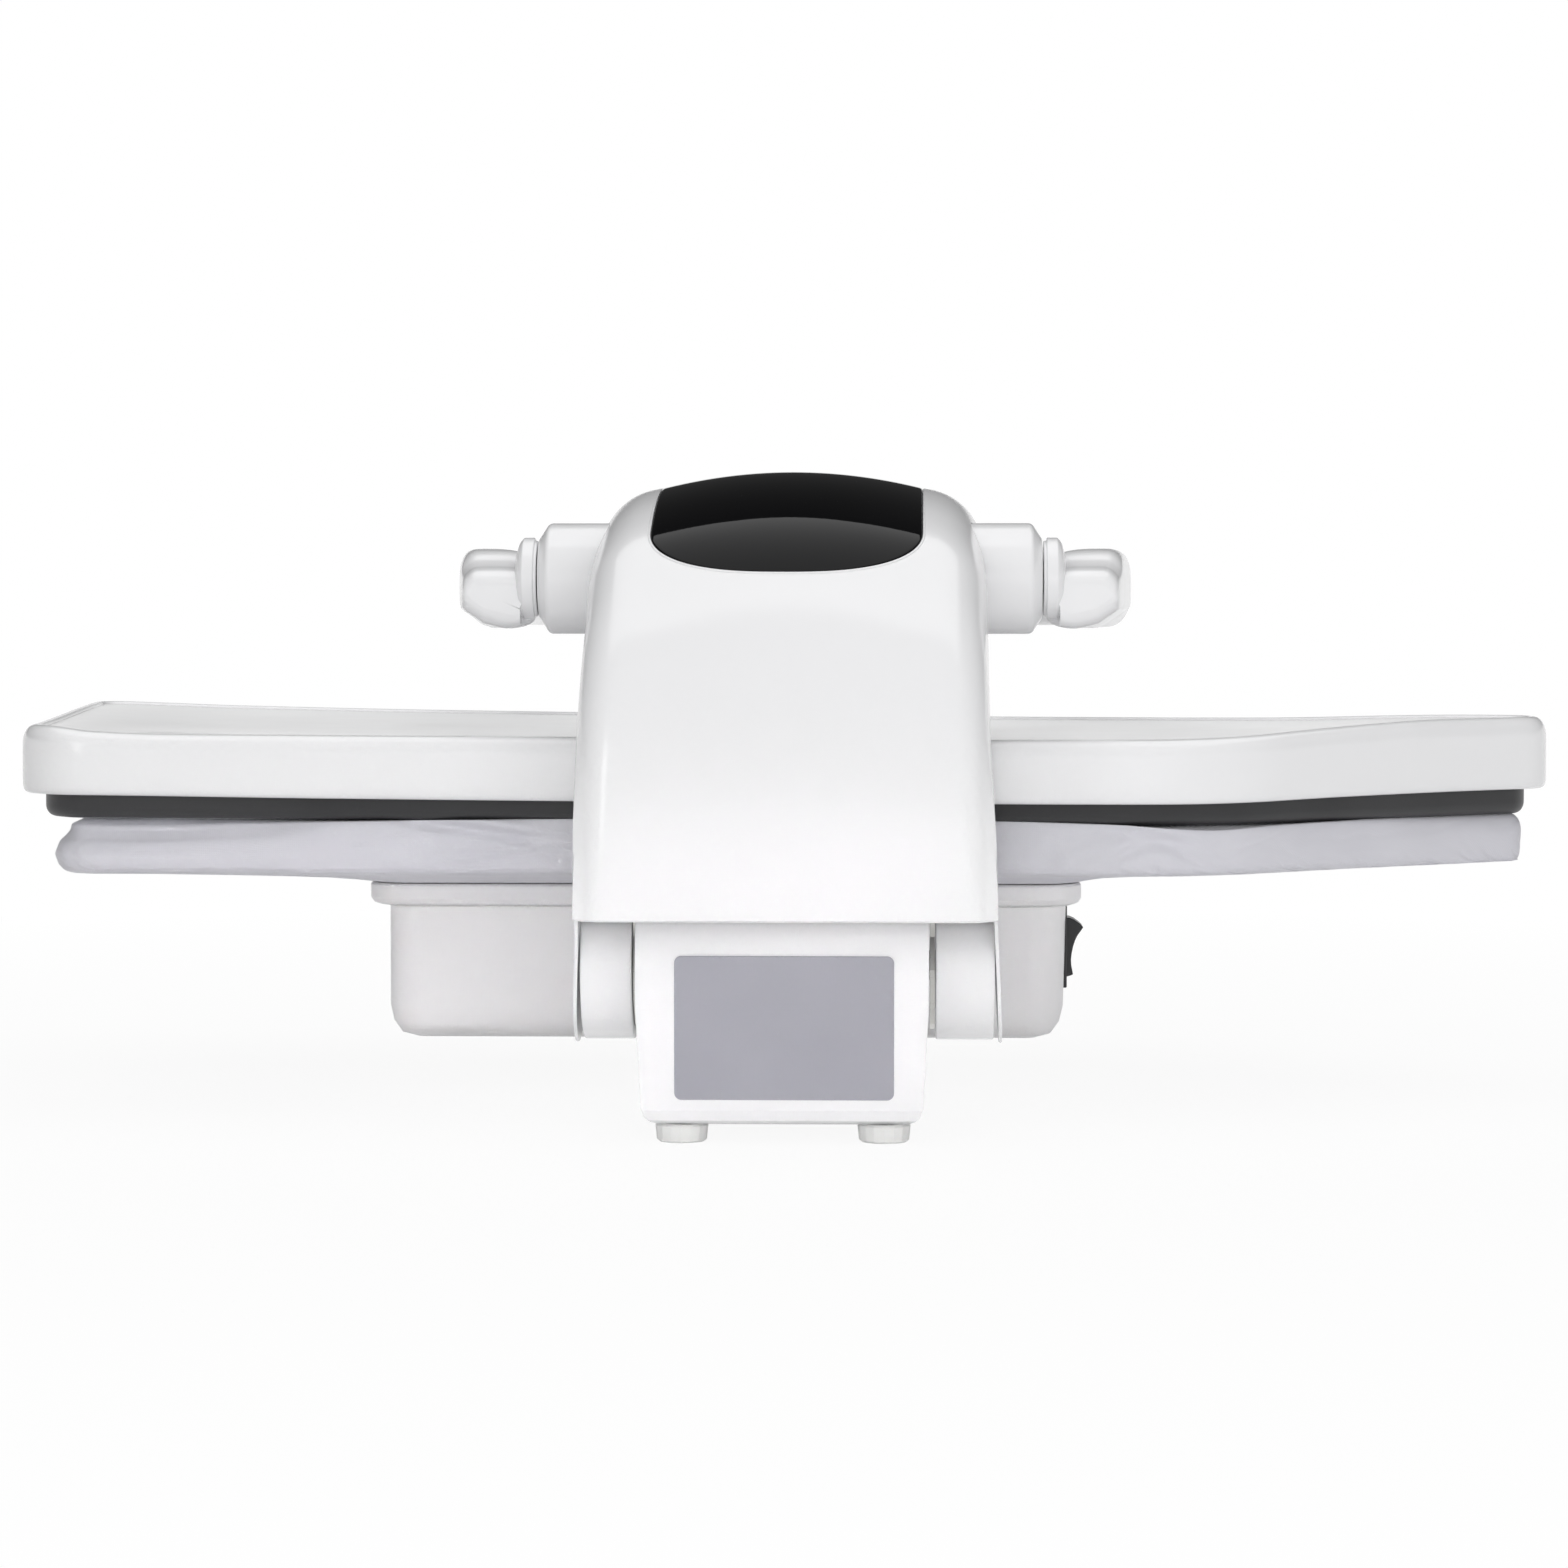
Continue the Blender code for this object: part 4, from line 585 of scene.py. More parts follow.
def panelRows(margin):
    # Distances along the crest, closer together at the ends, and the half width there: a
    # superellipse (1 - |1 - d / L|^p)^(1 / p) of the distance d from the nearer end.
    start, end, length = panel["start"] - margin, panel["end"] + margin, panel["endLength"] + margin
    d = length * (1 - np.cos(np.linspace(0.02, np.pi / 2, 30)))
    s = np.concatenate([start + d, np.linspace(start + length, end - length, 50)[1:-1], (end - d)[::-1]])
    near = np.clip(np.minimum(s - start, end - s) / length, 0, 1)
    p = panel["squareness"]
    return s, (panel["half"] + margin) * (1 - (1 - near) ** p) ** (1 / p)


def panelGrid(margin, top, bottom, edge=0.0, proud=0.0):
    # Sections across the strip: the upper run rounds off within edge of the border, the lower
    # run is level; together they make one loop.
    s, half = panelRows(margin)
    w = np.sin(np.linspace(-np.pi / 2, np.pi / 2, 45))[None]
    x = half[:, None] * w
    place = crestPlaces(s)
    lift = top + 0 * x
    if edge:
        near = np.clip((half[:, None] - abs(x)) / edge, 0, 1)
        lift = proud - edge * (1 - np.sqrt(1 - (1 - near) ** 2))
    upper = hoodSkin(place, x, lift)
    lower = hoodSkin(place, x, bottom + 0 * x)
    return np.concatenate([upper, lower[:, ::-1]], 1)


def makePanel():
    grid = panelGrid(0.0, 0.0, -panel["thickness"], panel["edge"], panel["proud"])
    tubeGrid("controlPanel", grid, blackGlass, "arm", ["control_panel"], "black_glass", angle=50)
    # the lip: a thin bead that follows the panel's border on the hood
    s, half = panelRows(panel["lipMargin"])
    place, x = crestPlaces(np.concatenate([s, s[::-1]])), np.concatenate([half, -half[::-1]])
    border, raised = (hoodSkin(place, x[:, None], np.full((len(x), 1), lift))[:, 0] for lift in (0.0, 0.001))
    up = unit(raised - border)
    out = unit(np.cross(unit(np.roll(border, -1, 0) - np.roll(border, 1, 0)), up))
    a = circle(10)[None, :, None]
    bead = border[:, None] + panel["lip"] * (np.cos(a) * out[:, None] + 0.7 * np.sin(a) * up[:, None])
    tubeGrid("panelLip", bead, whiteShell, "arm", (), "white_abs", angle=80, ring=True)


def atHeight(plan, z):
    return np.column_stack([plan, np.full(len(plan), z)])


handle = {
    # distance from the rear end, half width, low Z, high Z, squareness of the section
    "sections": mm([
        (9.5, 7.5, 203.4, 217.8, 4.0), (10.1, 8.2, 201.8, 219.4, 4.0), (11.4, 8.8, 200.4, 221.2, 4.0),
        (13.6, 9.2, 199.3, 222.7, 4.0), (17, 9.4, 198.7, 223.8, 4.0), (22, 9.5, 198.5, 224.9, 4.0),
        (28, 9.6, 198.4, 227, 4.0), (35, 9.7, 198.4, 230.4, 3.8), (43, 9.8, 198.4, 231.9, 3.8),
        (55, 10.2, 198.4, 232.3, 3.6), (75, 11, 198.4, 232.1, 3.5), (120, 12.2, 198.4, 231.5, 3.4),
        (225, 12.8, 198.4, 229.6, 3.0), (268, 13.4, 198.4, 228.8, 2.8), (290, 14.2, 198.2, 228.5, 2.6),
        (312, 15.2, 198, 228.5, 2.5), (334, 16, 197.8, 228.5, 2.4), (376, 16, 197.8, 228.5, 2.4),
        (427.5, 15.5, 197.8, 228.5, 2.4)], 1),
    "armX": 0.1335, "toeIn": 0.0082, "rearY": 0.112, "gripY": -0.199, "gripCorner": 0.042,
    "innerX": 0.1053,                    # the rear end reaches in to the boss
    "hubClear": 0.1118,                  # but stays out here beside the hub's disc
    "cut": (0.0128, 0.0087),             # flat cut along the lower outer edge, across and up
    "topRadius": 0.008,
    # distances from the rear end over which the cut, the top's rounding, the reach to the boss
    # and the room for the hub's disc fade out, and the disc's edge
    "cutFade": (0.1, 0.2), "topFade": (0.03, 0.11), "reachFade": (0.036, 0.07),
    "hubFade": (0.018, 0.026), "hubEdge": (0.014, 0.017),
    "buttonX": 0.052, "pocket": (0.0125, 0.007), "pocketZ": (0.22, 0.24),
    "rowsPerSection": 8, "columns": 72,
}


def handlePath(distance):
    # Down one side, whose X draws in towards the rear by toeIn (1 - d / rearY)^2, round a
    # quarter circle, and along the grip; with the outward direction in plan.
    straight = handle["rearY"] - (handle["gripY"] + handle["gripCorner"])
    radius = handle["gripCorner"]
    quarter = radius * np.pi / 2
    angle = np.clip((distance - straight) / radius, 0, np.pi / 2)
    rest = np.maximum(distance - straight - quarter, 0)
    pull = handle["toeIn"] * np.clip(1 - distance / handle["rearY"], 0, 1) ** 2
    x = handle["armX"] - pull - radius * (1 - np.cos(angle)) - rest
    y = handle["rearY"] - np.minimum(distance, straight) - radius * np.sin(angle)
    return np.stack([x, y], -1), np.stack([np.cos(angle), -np.sin(angle)], -1)


def flattened(across, up, way, reach, sharp):
    # Draws points in to a flat cut: their distance along way is held below reach, and the
    # power sharp sets how short the rounding beside the cut is.
    ahead = np.maximum(across * way[0] + up * way[1], 1e-6) / reach
    held = (1 + ahead ** sharp) ** (-1 / sharp)
    return across * held, up * held


def makeHandle():
    # Superellipse sections |u|^n + |v|^n = 1 carried along the path, wider inwards and cut
    # flat below at the rear end, then mirrored in X.
    steps = handle["rowsPerSection"]
    sections = handle["sections"]
    run = through(sections, np.linspace(0, len(sections) - 1, (len(sections) - 1) * steps + 1))
    run = np.vstack([run[:1], run])
    place, out = handlePath(run[:, 0])
    a = circle(handle["columns"])[None]
    n, wide = run[:, 4:5], run[:, 1:2]
    tall = (run[:, 3:4] - run[:, 2:3]) / 2
    across = wide * np.sign(np.cos(a)) * abs(np.cos(a)) ** (2 / n)
    up = tall * np.sign(np.sin(a)) * abs(np.sin(a)) ** (2 / n)
    rear = 1 - ease(*handle["cutFade"], run[:, :1])
    cutWide, cutTall = handle["cut"]
    low = unit(np.array([cutTall, -cutWide]))
    reach = low[0] * wide - low[1] * (tall - cutTall) + 0.012 * (1 - rear)
    across, up = flattened(across, up, low, reach, 22)
    diagonal = 0.7071
    reach = diagonal * (wide + tall) - 0.414 * handle["topRadius"] + 0.008 * ease(*handle["topFade"], run[:, :1])
    across, up = flattened(across, up, (diagonal, diagonal), reach, 14)
    reaching = 1 - ease(*handle["reachFade"], run[:, :1])
    inward = 1 + ((place[:, :1] - handle["innerX"]) / wide - 1) * reaching
    across = np.where(across < 0, across * inward, across)
    across[0], up[0] = across[0] * 0.8, up[0] * 0.8
    half = np.stack([place[:, :1] + out[:, :1] * across, place[:, 1:] + out[:, 1:] * across,
                     (run[:, 3:4] + run[:, 2:3]) / 2 + up], -1)
    # beside the disc, its inner side only goes in where the disc hides it
    ring = np.hypot(half[..., 1] - pivotY, half[..., 2] - pivotZ)
    beside = ease(*handle["hubEdge"], ring) * (1 - ease(*handle["hubFade"], run[:, :1]))
    half[..., 0] += np.maximum(handle["hubClear"] - half[..., 0], 0) * beside
    half = half[half[:, 0, 0] > 0.0005] if half[-1, 0, 0] < 0.0005 else half
    piece = tubeGrid("handleBar", np.concatenate([half, half[::-1] * (-1, 1, 1)]), whiteShell, "handle",
                     ["handle_bar"], "white_abs", angle=60)
    middle, pocket = np.array([handle["buttonX"], handle["gripY"]]), handle["pocket"]
    plan = outline(rectangleCorners(middle - pocket, middle + pocket), np.full(4, 0.004))
    carve(piece, [loose("buttonPocket", np.stack([atHeight(plan, z) for z in handle["pocketZ"]]))])
    dress(piece, whiteShell, "handle", angle=42)


turnings = {
    # start and end are distances from the middle of the press; the barrels' two ends differ
    "boss": {"start": 0.0603, "end": 0.1044, "radius": 0.023, "bore": 0.0098, "chamfer": (0.0064, 0.0042)},
    "hub": {"start": 0.105, "end": 0.1147, "radius": 0.017, "groove": (0.0157, 0.0013), "flat": 0.0058,
            "bore": 0.0063, "depth": 0.0079},
    "barrel": {"start": 0.0603, "end": (0.0809, 0.0838), "radius": 0.03, "bore": 0.0063, "hollow": 0.0225},
}


def makeTurnings():
    boss, hub, barrel = turnings["boss"], turnings["hub"], turnings["barrel"]
    reach = boss["end"] - boss["start"]
    wide, deep = boss["chamfer"]
    bossProfile = outline([(boss["bore"], 0), (boss["radius"], 0), (boss["radius"], reach - deep),
                           (boss["radius"] - wide, reach), (boss["bore"], reach)],
                          [0.0004, 0.0004, 0.003, 0.0012, 0.0006], arcSteps=8)
    thick = hub["end"] - hub["start"]
    neck, step = hub["groove"]
    r, flat = hub["radius"], hub["flat"]
    hubProfile = outline([(hub["bore"], 0), (neck, 0), (neck, step), (r, step), (r, flat),
                          (r * 0.88, thick - 0.002), (r * 0.55, thick - 0.0004), (0.0005, thick),
                          (0.0005, hub["depth"]), (hub["bore"], hub["depth"])],
                         [0.0002, 0.0004, 0.0003, 0.0006, 0.0008, 0.006, 0.012, 0.0001, 0.0001, 0.0002],
                         arcSteps=7)

    def barrelProfile(deep):
        return outline([(barrel["hollow"], 0), (barrel["radius"], 0), (barrel["radius"], deep),
                        (barrel["bore"], deep), (barrel["bore"], deep - 0.003), (barrel["hollow"], deep - 0.003)],
                       [0.0004, 0.0009, 0.0009, 0.0004, 0.0004, 0.0008], arcSteps=6)

    for side, word, end in ((1, "left", barrel["end"][0]), (-1, "right", barrel["end"][1])):
        for name, node, body, start, y, z, profile, angle in (
                ("pivotBoss", "pivot_boss", "arm", boss["start"], pivotY, pivotZ, bossProfile, 28),
                ("handleHub", "handle_hub", "handle", hub["start"], pivotY, pivotZ, hubProfile, 35),
                ("hingeBarrel", "hinge_barrel", "arm", barrel["start"], hingeY, hingeZ,
                 barrelProfile(end - barrel["start"]), 35)):
            lathe(f"{name}.{word}", profile, (side * start, y, z), side, whiteShell, body, [f"{node}_{word}"],
                  "white_abs", angle=angle)


plate = {
    "corners": [(0.3415, -0.165), (0.3195, 0.12), (-0.175, 0.12), (-0.345, -0.0225), (-0.175, -0.165)],
    "radii": [0.04, 0.032, 0.11, 0.028, 0.11],
    "coverRadii": [0.023, 0.032, 0.11, 0.028, 0.11],
    "wall": 0.0025, "step": 0.001,
    "opening": ((-0.054, 0.028), (0.054, 0.094)), "openingRadius": 0.006,
    "sole": 0.1183, "rimTop": 0.129, "coverLow": 0.1273,
    "arcSteps": 26, "sideSteps": 34,
    # X and Z of the cover's lower edge, of its ridge along the rear, and along the front
    "low": mm([(-345, 129.8), (-317, 129.8), (-281, 129.7), (-228, 129), (-179, 127.8), (-140, 127.5), (-85, 127.3),
               (88, 127.3), (200, 127.7), (278, 128.3), (345, 128.4)]),
    "rear": mm([(-345, 161.2), (-300, 161.3), (-272, 161.2), (-254, 160.2), (-220, 157.9), (-187, 155.4),
                (-155, 154.2), (-85, 153.7), (88, 153.8), (230, 153.8), (263, 153.9), (283, 154.5), (292, 155.1),
                (299, 156.1), (306, 156.8), (320, 157), (345, 157.1)]),
    "front": mm([(-345, 161.2), (-314, 161), (-268, 159.2), (-221, 157.1), (-170, 155.8), (-88, 155.6),
                 (110, 156.4), (193, 157.2), (275, 158.6), (332, 160.3), (345, 160.5)]),
}


def along(table, x):
    # the smooth height that a table of X and Z gives at each x
    steps = np.interp(x.ravel(), table[:, 0], np.arange(len(table)))
    return through(table, steps)[:, 1].reshape(x.shape)


def plateLoop(inset, radii="radii", steps=plate):
    # the plate's plan moved in by inset, in steps of the given dictionary
    return outline(plate["corners"], plate[radii], inset, steps["arcSteps"], steps["sideSteps"])


def coverTop(x, y):
    # the ridge's height goes from the rear table's to the front one's over the plate's depth
    share = ease(0.112, -0.155, y)
    return along(plate["rear"], x) * (1 - share) + along(plate["front"], x) * share


def coverRing(inset, share, drop=0.0):
    # A loop of the cover's plan, share of the way from its lower edge to its ridge, less drop,
    # sheared by the tilt.
    plan = plateLoop(inset, "coverRadii")
    x, y = plan.T
    low = along(plate["low"], x)
    return np.column_stack([plan, low + share * (coverTop(x, y) - low) - drop + plateTilt * x])


def facing(points, plan, centre):
    # For each point, the place on a loop that lies in the same direction from centre: the
    # loop's distance is read off over its angle.
    loop = np.asarray(plan) - centre
    angle = np.arctan2(loop[:, 1], loop[:, 0])
    order = np.argsort(angle)
    angle, distance = angle[order], np.linalg.norm(loop, axis=1)[order]
    wanted = points[:, :2] - centre
    want = np.arctan2(wanted[:, 1], wanted[:, 0])
    reach = np.interp(want, angle, distance, period=2 * np.pi)
    return centre + np.stack([np.cos(want), np.sin(want)], -1) * reach[:, None]


def makePlateCover():
    # Loops from the lower edge up over a rounded shoulder, a raised ridge, a fine crease and a
    # small step down to the top, in to the carrier's opening, then back inside the wall.
    levels = mm([(3.6, 0.0), (2.2, 0.005), (1.1, 0.022), (0.4, 0.055), (0.1, 0.11), (0, 0.2), (0, 0.35), (0, 0.5),
                 (0, 0.65), (0.1, 0.745), (0.4, 0.815), (0.9, 0.872), (1.7, 0.92), (2.7, 0.958), (3.9, 0.984),
                 (5.2, 0.997), (6.4, 1.0), (7.3, 0.997), (7.8, 0.988)], 1)
    step = plate["step"]
    outer = [coverRing(*level) for level in levels]
    outer += [coverRing(inset, 1.0, drop) for inset, drop in
              ((0.0081, step * 0.7), (0.0084, step * 1.15), (0.0092, step * 1.15), (0.011, step), (0.018, step),
               (0.03, step), (0.042, step))]
    outer = np.stack(outer)
    centre = np.mean(plate["opening"], axis=0)
    hole = outline(rectangleCorners(*plate["opening"]), np.full(4, plate["openingRadius"]), 0, 12, 12)
    edge = facing(outer[-1], hole, centre)
    t = np.linspace(0, 1, 13)[1:, None, None]
    top = outer[-1:, :, :2] * (1 - t) + edge[None] * t
    height = coverTop(top[..., 0], top[..., 1]) - step + plateTilt * top[..., 0]
    top = np.concatenate([top, height[..., None]], -1)
    wall = plate["wall"]
    under = top[::-1] - (0, 0, wall)
    inside = [coverRing(inset + wall, 1.0, step + wall) for inset in (0.03, 0.011)]
    inside += [coverRing(0.0055 + wall, 0.985, wall), coverRing(0.0018 + wall, 0.9, wall),
               coverRing(0.0002 + wall, 0.7), coverRing(wall, 0.3), coverRing(0.0012 + wall, 0.0)]
    grid = np.concatenate([outer, top, under, np.stack(inside)])
    tubeGrid("plateCover", grid, whiteShell, "plate", ["plate_cover"], "white_abs", angle=34, ring=True)


def makeHeatShield():
    # The rim's section, with a wide radius on its lower outer edge, carried round the plan. Its
    # upper part rises with the cover's lower edge.
    bottom, top = plate["sole"] + 0.0003, plate["rimTop"]
    mouth = plate["coverLow"] + gap
    section = outline([(0.0142, top), (0.0046, top), (0.0046, mouth), (0.0095, mouth), (0.0095, bottom),
                       (0.0142, bottom)], [0.0004, 0.0005, 0.0005, 0.0003, 0.0042, 0.0004], arcSteps=9)
    rows = []
    for inset, z in section:
        plan = plateLoop(inset)
        lift = (along(plate["low"], plan[:, 0]) - plate["coverLow"]) * (z - bottom) / (mouth - bottom)
        rows.append(np.column_stack([plan, z + lift + plateTilt * plan[:, 0]]))
    tubeGrid("heatShield", np.stack(rows), blackResin, "plate", ["heat_shield"], "black_resin", angle=45,
             ring=True)


def shifted(piece, axis, amount):
    # moves each point along one axis by the amount that its drawn X, Y and Z give
    co = np.zeros(len(piece.data.vertices) * 3)
    piece.data.vertices.foreach_get("co", co)
    co = co.reshape(-1, 3)
    co[:, axis] += amount(*(co - origin).T)
    piece.data.vertices.foreach_set("co", co.ravel())
    piece.data.update()


switchWall = {"lean": 0.0015, "from": -0.08, "to": -0.112, "foot": 0.02, "height": 0.058}


def leanOut(x, y, z):
    # the wall beside the switch leans out as it rises
    rise = np.clip((z - switchWall["foot"]) / switchWall["height"], 0, 1)
    return -switchWall["lean"] * ease(switchWall["from"], switchWall["to"], x) * rise


rocker = {
    "axis": (-0.113, -0.01, 0.059), "tilt": 12, "half": 0.0077,
    # X outwards and height of the upper half of the side, about the rocker's own axis
    "side": mm([(3, 6), (1.2, 10.5), (-1.6, 13), (-4, 13.4), (-6.2, 13), (-8.6, 11.9), (-10.2, 11), (-10.6, 10.5),
                (-10, 9.4), (-9.1, 7.2), (-8.4, 4.4), (-8.1, 1.5)]),
}


def makeRocker():
    # the side is mirrored in height, turned by the tilt and carried across with eased edges
    side = np.vstack([rocker["side"], rocker["side"][::-1] * (1, -1)])
    turn = math.radians(rocker["tilt"])
    middle = side.mean(0)
    rows = []
    for share, y in ((0.9, -1.0), (0.97, -0.985), (1.0, -0.93), (1.0, 0.93), (0.97, 0.985), (0.9, 1.0)):
        a, b = (middle + (side - middle) * share).T
        rows.append(np.column_stack([a * math.cos(turn) - b * math.sin(turn), 0 * a + y * rocker["half"],
                                     b * math.cos(turn) + a * math.sin(turn)]))
    grid = np.stack(rows) + rocker["axis"]
    tubeGrid("powerRocker", grid, blackSwitch, "rocker", ["power_rocker"], "black_resin", angle=30)


def finerCopy(node, name, material, body, slot, bevel=0.0, tilt=0.0):
    # A welded copy of a CAD node in its place, with smooth curves and, where bevel is given,
    # small rounded edges. With a tilt it is sheared as the plate is: z gains tilt times x.
    piece = bpy.data.objects.new(name, nodes[node].data.copy())
    piece.data.name = name
    bpy.context.scene.collection.objects.link(piece)
    shifted(piece, 2, lambda x, y, z: tilt * x)
    if bevel:
        shape = bmesh.new()
        shape.from_mesh(piece.data)
        bmesh.ops.remove_doubles(shape, verts=shape.verts, dist=2e-5)
        bmesh.ops.dissolve_limit(shape, angle_limit=math.radians(0.8), verts=shape.verts, edges=shape.edges)
        shape.to_mesh(piece.data)
        shape.free()
        rounding = piece.modifiers.new("edges", "BEVEL")
        rounding.width = bevel
        rounding.segments = 3
        rounding.limit_method = "ANGLE"
        rounding.angle_limit = math.radians(40)
    dress(piece, material, body, [node], slot, angle=35)
    # large faces keep their own direction, so that the flats beside a rounded edge stay flat
    flats = piece.modifiers.new("flats", "WEIGHTED_NORMAL")
    flats.weight = 90
    flats.keep_sharp = True
    return piece


pad = {
    "bottom": 0.096, "contact": 0.1178,
    # inset and share of the shoulder's height, from under the pad out round its side and in
    # again to the shoulder
    "full": mm([(33, 0.0), (24, 0.0), (17.5, 0.01), (13.8, 0.06), (12, 0.15), (11.1, 0.29), (10.7, 0.45),
                (10.5, 0.61), (10.3, 0.76), (10.2, 0.88), (10.3, 0.95), (10.7, 0.99), (11.4, 1.0)], 1),
    "slumped": mm([(33, 0.0), (26.8, 0.003), (20.5, 0.03), (17.5, 0.08), (15.4, 0.16), (14.4, 0.26), (13.8, 0.39),
                   (14.5, 0.52), (15.8, 0.645), (17.6, 0.74), (19.4, 0.87), (20, 0.95), (20.8, 1.0)], 1),
    "boxy": mm([(33, 0.0), (21.5, 0.0), (13.4, 0.004), (12.3, 0.03), (11.5, 0.15), (10.8, 0.33), (10.5, 0.5),
                (10.6, 0.66), (11.3, 0.8), (12.7, 0.91), (14.8, 0.975), (17.5, 1.0), (21, 1.0)], 1),
    # X and Z of the shoulder along the rear: pressed up past the rim near the arm, hollow at
    # the square end and where the nose begins
    "shoulder": mm([(-345, 118.8), (-312, 119), (-283, 119), (-230, 118.7), (-205, 117.8), (-182, 116.7),
                    (-160, 117.6), (-140, 119), (-110, 120), (-85, 120.4), (0, 120.3), (89, 119.9), (140, 119.2),
                    (190, 118), (230, 116.6), (265, 115.3), (295, 115.6), (345, 115.8)]),
    "rows": 70, "arcSteps": 40, "sideSteps": 90,
    "topInset": 0.061, "wrinkle": 0.0009, "gather": 0.0007, "pull": 0.0008, "reach": (-0.0028, 0.0014),
    # folds on the rear side: X, Z, slope in degrees, half length, half width, depth
    "folds": [(0.128, 0.115, 8, 0.034, 0.0024, 0.0022), (0.104, 0.1085, 24, 0.014, 0.0018, 0.0018),
              (0.118, 0.1035, -10, 0.022, 0.0024, 0.0011), (0.254, 0.104, 62, 0.006, 0.0016, 0.0007),
              (0.312, 0.101, 82, 0.005, 0.0018, 0.0007), (0.3, 0.107, 72, 0.008, 0.0024, 0.0006),
              (-0.1075, 0.106, -68, 0.008, 0.0024, 0.0024), (-0.119, 0.101, -40, 0.01, 0.002, 0.0016),
              (-0.134, 0.1035, -28, 0.012, 0.0022, 0.0013), (-0.15, 0.112, 12, 0.02, 0.003, 0.0014),
              (-0.1515, 0.0985, 70, 0.003, 0.0012, 0.0012)],
}
hem = {
    "deckLow": (-0.124, -0.138), "deckHigh": (0.1855, 0.033), "deckRadius": 0.02, "deckInset": 0.0015,
    "flare": (0.018, 0.025, 0.037),      # towards the switch, the rear and the square end
    "frontFlare": 0.0025,
    "start": 0.0335, "foldDepth": 0.0011, "folds": (151, 94, 233), "phases": (0.3, 1.9, 4.0),
}


def padGrid():
    # Three side profiles are mixed over the plan: slumped at the square end, boxy at the nose,
    # full between. Each is a smooth run of inset and height that ends on the shoulder; from
    # there the top runs in to where the plate rests on it.
    plan = plateLoop(0.0, steps=pad)
    square = ease(0.16, 0.275, plan[:, 0])[None, :, None]
    nose = ease(-0.23, -0.31, plan[:, 0])[None, :, None]
    steps = np.linspace(0, len(pad["full"]) - 1, pad["rows"])
    full, slumped, boxy = (through(pad[key], steps)[:, None] for key in ("full", "slumped", "boxy"))
    profile = full * (1 - square) * (1 - nose) + slumped * square + boxy * nose
    inset, share = profile[..., 0], np.clip(profile[..., 1], 0, 1)
    t = np.linspace(0, 1, 12)[1:, None]
    inset = np.vstack([inset, inset[-1:] + (pad["topInset"] - inset[-1:]) * t ** 1.6])
    share = np.vstack([share, 1 + t + 0 * share[:1]])
    rings = np.stack([plateLoop(value, steps=pad) for value in np.linspace(0.01, 0.062, 53)])
    level = np.clip((inset - 0.01) / 0.001, 0, 51.999)
    first = level.astype(int)
    level = (level - first)[..., None]
    column = np.arange(rings.shape[1])[None]
    xy = rings[first, column] * (1 - level) + rings[first + 1, column] * level
    tilt = plateTilt * xy[..., 0]
    shoulder = along(pad["shoulder"], plan[:, 0])[None] + tilt
    contact = pad["contact"] + tilt
    onTop = ease(0.0, 0.35, share - 1)
    z = pad["bottom"] + (shoulder - pad["bottom"]) * np.minimum(share, 1)
    return np.dstack([xy, z * (1 - onTop) + contact * onTop]), share


def makePad():
    grid, share = padGrid()
    ahead = np.gradient(grid, axis=1)
    ahead[:, [0, -1]] = (grid[:, [1, 0]] - grid[:, [-1, -2]]) / 2
    out = unit(np.cross(ahead, (0, 0, 1.0)))
    x, y, z = grid[..., 0], grid[..., 1], grid[..., 2]
    # Wrinkles move the side out and in: slow waves, a few slanting pulls and, low down, gathers.
    side = np.clip(share * (1 - share) * 4, 0, 1)
    share = np.minimum(share, 1)
    length = np.cumsum(np.linalg.norm(ahead, axis=-1), axis=1)
    slow = waves(length, z * 2.2, 11, 9, 0.16, 0.03)
    pulls = np.abs(np.sin(length * 38 + z * 210 + 3 * waves(length, z, 5))) ** 6
    nearArm = ease(-0.2, -0.15, x) * ease(-0.09, -0.12, x) + 0.5 * ease(0.08, 0.12, x) * ease(0.2, 0.15, x)
    gathers = waves(length * 2.2, z * 0.3, 3, 8, 0.03, 0.006)
    gathers = gathers * ease(0.4, 0.04, share) * ease(0.0, 0.01, share + 0.01)
    move = side * (pad["wrinkle"] * slow - pad["pull"] * pulls * (0.25 + nearArm)) + pad["gather"] * gathers
    # Each fold, v across and u along it: a crease exp(-(v/w)^2) with a ridge 1.7 w above it.
    for foldX, foldZ, slope, reach, wide, deep in pad["folds"]:
        turn = math.radians(slope)
        u = (x - foldX) * math.cos(turn) + (z - foldZ) * math.sin(turn)
        v = (z - foldZ) * math.cos(turn) - (x - foldX) * math.sin(turn)
        line = np.exp(-(v / wide) ** 2) - 0.6 * np.exp(-(v / wide - 1.7) ** 2)
        move -= deep * line * np.exp(-(u / reach) ** 4) * ease(0.04, 0.08, y) * ease(0.0, 0.06, share)
    grid = grid + out * np.clip(move, *pad["reach"])[..., None]
    top = ease(0.97, 1.0, share)
    grid[..., 2] -= 0.0002 * top * (1 + waves(x, y, 23, 10, 0.2, 0.03))
    drop = (pad["contact"] + plateTilt * x - z)[..., None]
    threads = grid[..., :2] + out[..., :2] * drop
    piece = tubeGrid("boardPad", grid, padCloth, "base", ["board_pad"], "pad_cloth", angle=75, uv=threads)


